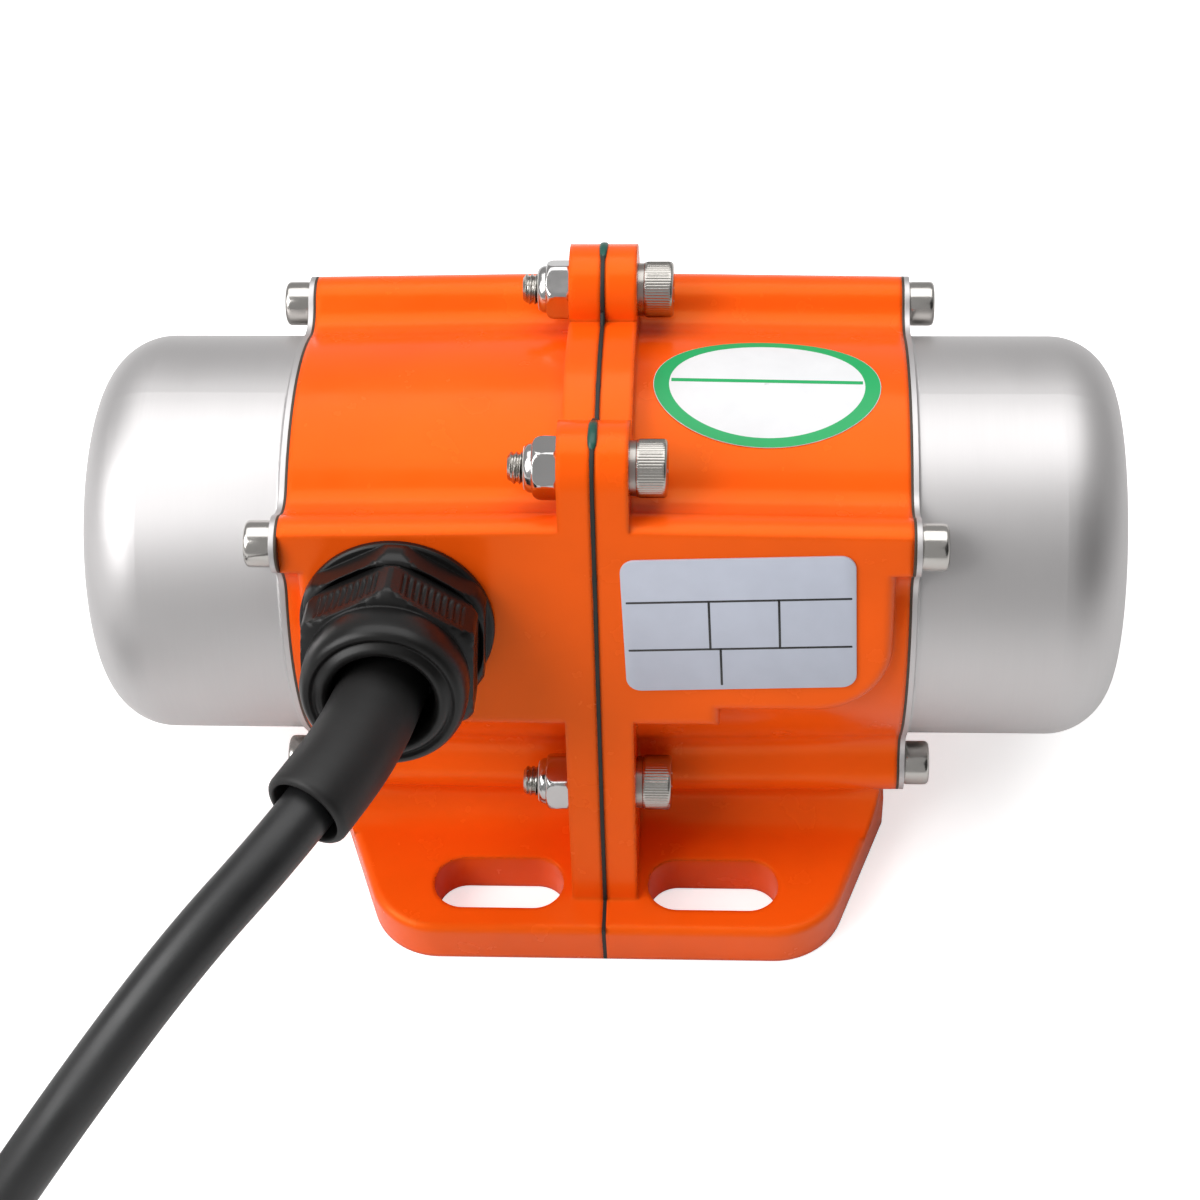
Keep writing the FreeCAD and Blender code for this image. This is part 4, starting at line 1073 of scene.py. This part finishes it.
@dataclass
class Supply:
    """The cable with its stripped end, and the sleeve where it leaves the gland, in millimetres.

    Each mark of the coil is a turn and the radius and the height there. Each row of the sleeve's bore
    is a distance back from its lip and the radius there.
    """

    shop: Workshop
    diameter: float = 7.8
    length: float = 870.0
    route: tuple[Triple, ...] = (
        (-29.3, -34.16, 59.87), (-29.3, -52.37, 64.92), (-39.8, -77.2, 68.4),
        (-52.8, -92.2, 62.8), (-68.5, -107.8, 48.5), (-83.5, -119.5, 30.0),
        (-97.5, -130.5, 14.5), (-113.5, -143.2, 6.7))
    coil_centre: Pair = (-143.0, -110.0)
    coil_start: float = -72.8
    coil_turns: float = 2.3
    turn_points: int = 16
    coil_marks: tuple[Triple, ...] = (
        (0, 44.6, 4.2), (0.1, 44, 3.9), (0.5, 41, 3.9), (0.8, 36.4, 3.9), (1.0, 35.2, 3.9),
        (1.15, 34.8, 5), (1.3, 34.8, 10), (1.45, 35.2, 12.1), (1.6, 35.8, 12.1), (1.8, 35.8, 12.1),
        (1.95, 36, 12.1), (2.05, 37.2, 12.3), (2.15, 39.8, 12.6), (2.3, 43.6, 12.3))
    tail: tuple[Triple, ...] = (
        (-187.0, -106.0, 12.2), (-187.0, -90.0, 12.1), (-187.0, -74.0, 11.8),
        (-187.0, -58.0, 7.6), (-187.0, -42.0, 3.9), (-187.0, -16.0, 3.9), (-187.0, 26.0, 3.9))
    sleeve_start: float = 11.0
    sleeve_end: float = 40.0
    sleeve_radius: float = 6.4
    sleeve_lip: float = 1.0
    sleeve_bore: tuple[Pair, ...] = ((0.1, 5.3), (0.8, 5.1), (7, 5.0), (9, 4.0), (29, 4.0))

    def coil(self) -> list[Triple]:
        """Points of the turns on the floor: the angle falls evenly, while radius and height are read
        off the marks. Each point lies outside the circle it bends to, by one over the cosine of half a
        step.

        Returns:
            The points.
        """
        marks, radii, heights = np.array(self.coil_marks).T
        turn = np.arange(int(self.coil_turns * self.turn_points) + 1) / self.turn_points
        radius = np.interp(turn, marks, radii) / math.cos(math.pi / self.turn_points)
        angle = math.radians(self.coil_start) - 2 * np.pi * turn
        return np.column_stack([self.coil_centre[0] + radius * np.cos(angle),
                                self.coil_centre[1] + radius * np.sin(angle),
                                np.interp(turn, marks, heights)]).tolist()

    def cable(self) -> bpy.types.Object:
        """Lays the cable as one smooth spline with the route's points as its control points.

        Returns:
            The cable.
        """
        points = [*self.route, *self.coil(), *self.tail]
        curve = bpy.data.curves.new("supply_cable", "CURVE")
        curve.dimensions = "3D"
        spline = curve.splines.new("NURBS")
        spline.points.add(len(points) - 1)
        for target, point in zip(spline.points, points):
            target.co = (*[c * MM for c in point], 1.0)
        spline.order_u = 3
        spline.use_endpoint_u = True
        curve.resolution_u = 10
        return linked("supply_cable", curve)

    def centreline(self, cable: bpy.types.Object) -> Grid:
        """Points of the cable's own line, read while it has no thickness.

        Args:
            cable: The cable.

        Returns:
            The points in metres, in order.
        """
        bpy.context.view_layer.update()
        mesh = bpy.data.meshes.new_from_object(cable)
        points = np.empty(len(mesh.vertices) * 3)
        mesh.vertices.foreach_get("co", points)
        bpy.data.meshes.remove(mesh)
        return points.reshape(-1, 3)

    def sleeve(self, line: Grid) -> Grid:
        """Rings of the sleeve: out along its outside, round its lip and back along its inside.

        Args:
            line: The cable's line.

        Returns:
            The points, by ring and by step, of a loop.
        """
        run = run_of(line) / MM
        shoulder, lip = self.sleeve_end - self.sleeve_lip, self.sleeve_lip
        swing = np.linspace(0, np.pi / 2, 5)[1:]
        outside = np.linspace(self.sleeve_start, shoulder, 40)
        back, bore = np.array(self.sleeve_bore).T
        at = np.concatenate([outside, shoulder + lip * np.sin(swing), self.sleeve_end - back])
        radius = np.concatenate([np.full(len(outside), self.sleeve_radius),
                                 self.sleeve_radius - lip + lip * np.cos(swing), bore])
        behind, path, ahead = (
            np.stack([np.interp(at + shift, run, line[:, axis]) for axis in range(3)], axis=-1)
            for shift in (-0.5, 0, 0.5))
        return rings_across(path, ahead - behind, radius * MM, 56)

    def build(self) -> None:
        """Makes the cable and the sleeve and dresses the cores' ends."""
        cable = self.cable()
        line = self.centreline(cable)
        cable.data.bevel_depth = self.diameter / 2 * MM
        cable.data.bevel_resolution = 8
        cable.data.use_fill_caps = True
        cable.data.materials.append(self.shop.palette.get("sheath"))
        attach(cable, "stator")
        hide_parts("power_cord", "cord_coil", "cord_tail")
        sleeve = self.shop.piece("gland_sleeve", skinned(self.sleeve(line), loop=True), "rubber")
        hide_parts("cable_sleeve")
        self.shop.dress("core_brown", "cord_core_ends")
        LOG.info("supply_cable: %.0f mm", run_of(line)[-1] / MM)


# Plate and sticker


@dataclass
class Labels:
    """The ruled rating plate on the right boss and the oval sticker on the right barrel, both blank.

    Lengths are in millimetres. A rule is given by its two ends, and a face by the heights of its
    underside and its top over what carries it.
    """

    shop: Workshop
    plate_centre: Pair = (21.2, 6.3)
    plate_size: Pair = (34.4, 23.2)
    plate_turn: float = 1.8
    plate_corner: float = 2.2
    plate_thickness: float = 0.35
    plate_edge: float = 0.12
    rule_width: float = 0.35
    rule_face: Pair = (-0.01, 0.02)
    rules: tuple[tuple[float, float, float, float], ...] = (
        (-16.4, 4.3, 16.4, 4.3), (-16.4, -4.2, 16.4, -4.2), (-4.4, 4.3, -4.4, -4.2),
        (5.9, 4.3, 5.9, -4.2), (-2.9, -4.2, -2.9, -10.6))
    barrel_ends: Pair = (5.2, 46.3)
    barrel_radii: Pair = (33.2, 32.3)
    oval_centre: Pair = (25.1, 90.9)
    oval_size: Pair = (17.1, 11.6)
    oval_radius: float = 32.8
    oval_face: Pair = (0.01, 0.12)
    oval_steps: int = 96
    ring_width: float = 1.6
    ring_face: Pair = (0.05, 0.15)
    line_angle: float = 92.2
    line_half: Pair = (14.4, 0.6)
    line_face: Pair = (0.1, 0.15)

    def on_boss(self, points: Grid) -> Grid:
        """Carries points of the plate, with height above it, to the boss's face: along X, up the face
        and outward.

        Args:
            points: Points, the plate's middle at zero.

        Returns:
            The points in metres.
        """
        cos, sin = math.cos(math.radians(self.plate_turn)), math.sin(math.radians(self.plate_turn))
        along, up, out = np.moveaxis(points, -1, 0)
        return from_boss(np.stack([self.plate_centre[0] + along * cos - up * sin,
                                   self.plate_centre[1] + along * sin + up * cos,
                                   BOSS_FACE + out], axis=-1))

    def on_barrel(self, x: Grid, arc: Grid, height: Grid) -> Grid:
        """Carries points to the barrel, which narrows towards the cap.

        Args:
            x: Place along X.
            arc: Angle.
            height: Height above the enamel.

        Returns:
            The points in metres.
        """
        radius = np.interp(x, self.barrel_ends, self.barrel_radii) + height
        return round_shaft(x * MM, radius * MM, arc)

    def oval(self, inner: float, outer: float, face: Pair) -> Grid:
        """Rings of a thin oval, or of a band of one, bent over the barrel.

        Args:
            inner: Share of the oval's size where the band starts.
            outer: Share of the oval's size where it ends.
            face: Heights of its underside and its top.

        Returns:
            The points, by ring and by step.
        """
        low, high = face
        angle = full_turn(self.oval_steps)
        share = np.concatenate([[inner, inner], np.linspace(inner, outer, 12), [outer]])
        level = np.concatenate([[low, high], np.full(12, high), [low]])
        half_arc = math.degrees(self.oval_size[1] / self.oval_radius)
        x = self.oval_centre[0] + np.outer(share, self.oval_size[0] * np.cos(angle))
        arc = self.oval_centre[1] - np.outer(share, half_arc * np.sin(angle))
        return self.on_barrel(x, arc, level[:, None] * np.ones(len(angle)))

    def rule(self, x0: float, y0: float, x1: float, y1: float) -> Mesh:
        """Thin bar on the plate from one end to the other, which lie level or upright.

        Args:
            x0: Place of the first end along the plate.
            y0: Place of the first end up the plate.
            x1: Place of the other end along the plate.
            y1: Place of the other end up the plate.

        Returns:
            The vertices and the faces.
        """
        box = rounded_outline(abs(x1 - x0) + self.rule_width, abs(y1 - y0) + self.rule_width,
                              self.rule_width / 4, 3)
        low, high = self.rule_face
        middle = np.array([(x0 + x1) / 2, (y0 + y1) / 2, self.plate_thickness + low])
        return skinned(self.on_boss(slab(box, high - low, 0.01) + middle))

    def build(self) -> None:
        """Makes the plate with its ruled lines, and the sticker with its ring and line."""
        plate = slab(rounded_outline(*self.plate_size, self.plate_corner), self.plate_thickness,
                     self.plate_edge)
        self.shop.piece("rating_plate", skinned(self.on_boss(plate)), "foil")
        self.shop.piece("rating_plate_rules", joined([self.rule(*ends) for ends in self.rules]), "ink")
        self.shop.piece("oval_sticker", skinned(self.oval(0.02, 1.0, self.oval_face)), "paper")
        inner = 1 - self.ring_width / self.oval_size[1]
        self.shop.piece("oval_sticker_ring", skinned(self.oval(inner, 0.995, self.ring_face), True),
                        "green")
        (reach, half), (low, high) = self.line_half, self.line_face
        x = self.oval_centre[0] + np.linspace(-reach, reach, 30)[:, None]
        arc = self.line_angle + np.array([-half, -half, half, half])
        rings = self.on_barrel(*np.broadcast_arrays(x, arc, np.array([low, high, high, low])))
        self.shop.piece("oval_sticker_line", skinned(rings), "green")


# Inside


@dataclass
class Innards:
    """Finishes of the motor's parts inside the housing and the caps."""

    shop: Workshop
    middle: tuple[tuple[str, str], ...] = (
        ("core", "stator_core"), ("winding", "stator_windings"), ("core_brown", "lead_wires"),
        ("ground", "shaft"), ("core", "rotor_core"), ("cast", "rotor_cage"),
        ("spring", "wave_washer"))
    at_each_end: tuple[tuple[str, str], ...] = (
        ("ground", "bearing_outer_ring"), ("ground", "bearing_inner_ring"),
        ("zinc", "bearing_shields"), ("polished", "bearing_balls"), ("brass", "ball_cage"),
        ("ground", "bearing_spacer"), ("ground", "shaft_key"), ("rolled", "fixed_weight"),
        ("rolled", "adjustable_weight"), ("zinc", "clamp_screw"), ("spring", "retaining_ring"))

    def build(self) -> None:
        """Dresses the nodes."""
        for finish, node in self.middle:
            self.shop.dress(finish, node)
        for side in Side:
            for finish, node in self.at_each_end:
                self.shop.dress(finish, f"{side.word}_{node}")


# Studio


@dataclass
class Studio:
    """White floor, soft lights, a dark card and the camera, in metres and watts."""

    camera_at: Triple = (0.021738, -0.276856, 0.351275)
    right: Triple = (0.99843, 0.04119, -0.03783)
    up: Triple = (-0.00663, 0.75880, 0.65129)
    forward: Triple = (-0.05553, 0.65002, -0.75788)
    lens: float = 77.261
    sensor: float = 36.0
    aim: Triple = (0.0, 0.0, 0.04)
    floor_size: float = 12.0
    floor_height: float = -0.0002
    floor_glow: float = 0.6
    world_strength: float = 0.44

    def camera(self) -> None:
        """Sets the camera up."""
        data = bpy.data.cameras.new("camera")
        data.lens, data.sensor_width = self.lens, self.sensor
        thing = linked("camera", data)
        turn = Matrix([self.right, self.up, [-c for c in self.forward]]).transposed()
        thing.matrix_world = Matrix.Translation(self.camera_at) @ turn.to_4x4()
        bpy.context.scene.camera = thing

    def square(self, name: str, size: float, height: float, recipe: Recipe) -> bpy.types.Object:
        """Makes a level square about the origin.

        Args:
            name: Name of the square.
            size: Width and depth.
            height: Height that it lies at.
            recipe: Its material.

        Returns:
            The square.
        """
        corners = [(x * size / 2, y * size / 2, height)
                   for x, y in ((-1, -1), (1, -1), (1, 1), (-1, 1))]
        mesh = bpy.data.meshes.new(name)
        mesh.from_pydata(corners, [], [[0, 1, 2, 3]])
        mesh.materials.append(recipe.material)
        return linked(name, mesh)

    def stand(self, thing: bpy.types.Object, at: Triple, face: str) -> None:
        """Puts a thing of the stage in its place, turned to the motor.

        Args:
            thing: The thing.
            at: Its place.
            face: Its own axis that turns to the motor.
        """
        thing.location = at
        towards = Vector(self.aim) - Vector(at)
        thing.rotation_euler = towards.to_track_quat(face, "Y").to_euler()

    def floor(self) -> None:
        """Lays a wide white floor that shows pure white to the camera except in shadow."""
        recipe = Recipe("floor_white")
        recipe.set(Base_Color=(0.8, 0.8, 0.8, 1), Roughness=0.9, Emission_Color=(1, 1, 1, 1))
        path = recipe.add("ShaderNodeLightPath")
        glow = recipe.add("ShaderNodeMath", operation="MULTIPLY")
        glow.inputs[1].default_value = self.floor_glow
        recipe.join(path.outputs["Is Camera Ray"], glow.inputs[0])
        recipe.feed("Emission Strength", glow.outputs[0])
        self.square("floor", self.floor_size, self.floor_height, recipe)

    def light(self, name: str, at: Triple, size: Pair, watts: float) -> None:
        """Hangs a soft light that points at the motor.

        Args:
            name: Name of the light.
            at: Its place.
            size: Width and height.
            watts: Power.
        """
        data = bpy.data.lights.new(name, "AREA")
        data.shape = "RECTANGLE"
        data.size, data.size_y = size
        data.energy = watts
        self.stand(linked(name, data), at, "-Z")

    def card(self, name: str, at: Triple, size: float) -> None:
        """Stands a dark square card towards the motor, seen only in reflections.

        Args:
            name: Name of the card.
            at: Place of its middle.
            size: Width and height.
        """
        recipe = Recipe(name + "_card")
        recipe.set(Base_Color=(0.02, 0.02, 0.02, 1), Roughness=0.9)
        thing = self.square(name, size, 0.0, recipe)
        thing.visible_camera = False
        self.stand(thing, at, "Z")

    def build(self) -> None:
        """Sets the floor, the lights, the world and the camera up."""
        scene = bpy.context.scene
        scene.view_settings.view_transform = "Standard"
        world = bpy.data.worlds.new("world")
        world.use_nodes = True
        sky = world.node_tree.nodes["Background"]
        sky.inputs["Color"].default_value = (1, 1, 1, 1)
        sky.inputs["Strength"].default_value = self.world_strength
        scene.world = world
        self.floor()
        self.light("top", (0.0, 0.25, 0.9), (1.2, 0.8), 6)
        self.light("key", (-0.75, -0.4, 0.75), (0.8, 0.8), 9.5)
        self.card("dark", (0.6, -0.5, 0.45), 0.8)
        self.camera()


def main() -> None:
    """Builds the scene in order."""
    logging.basicConfig(level=logging.INFO, format="%(name)s %(message)s")
    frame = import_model()
    shop = Workshop(frame)
    for part in (Shell, EndFasteners, Gland, Supply, Labels, Innards):
        part(shop).build()
    Studio().build()
    bpy.context.view_layer.update()


if __name__ == "__main__":
    main()
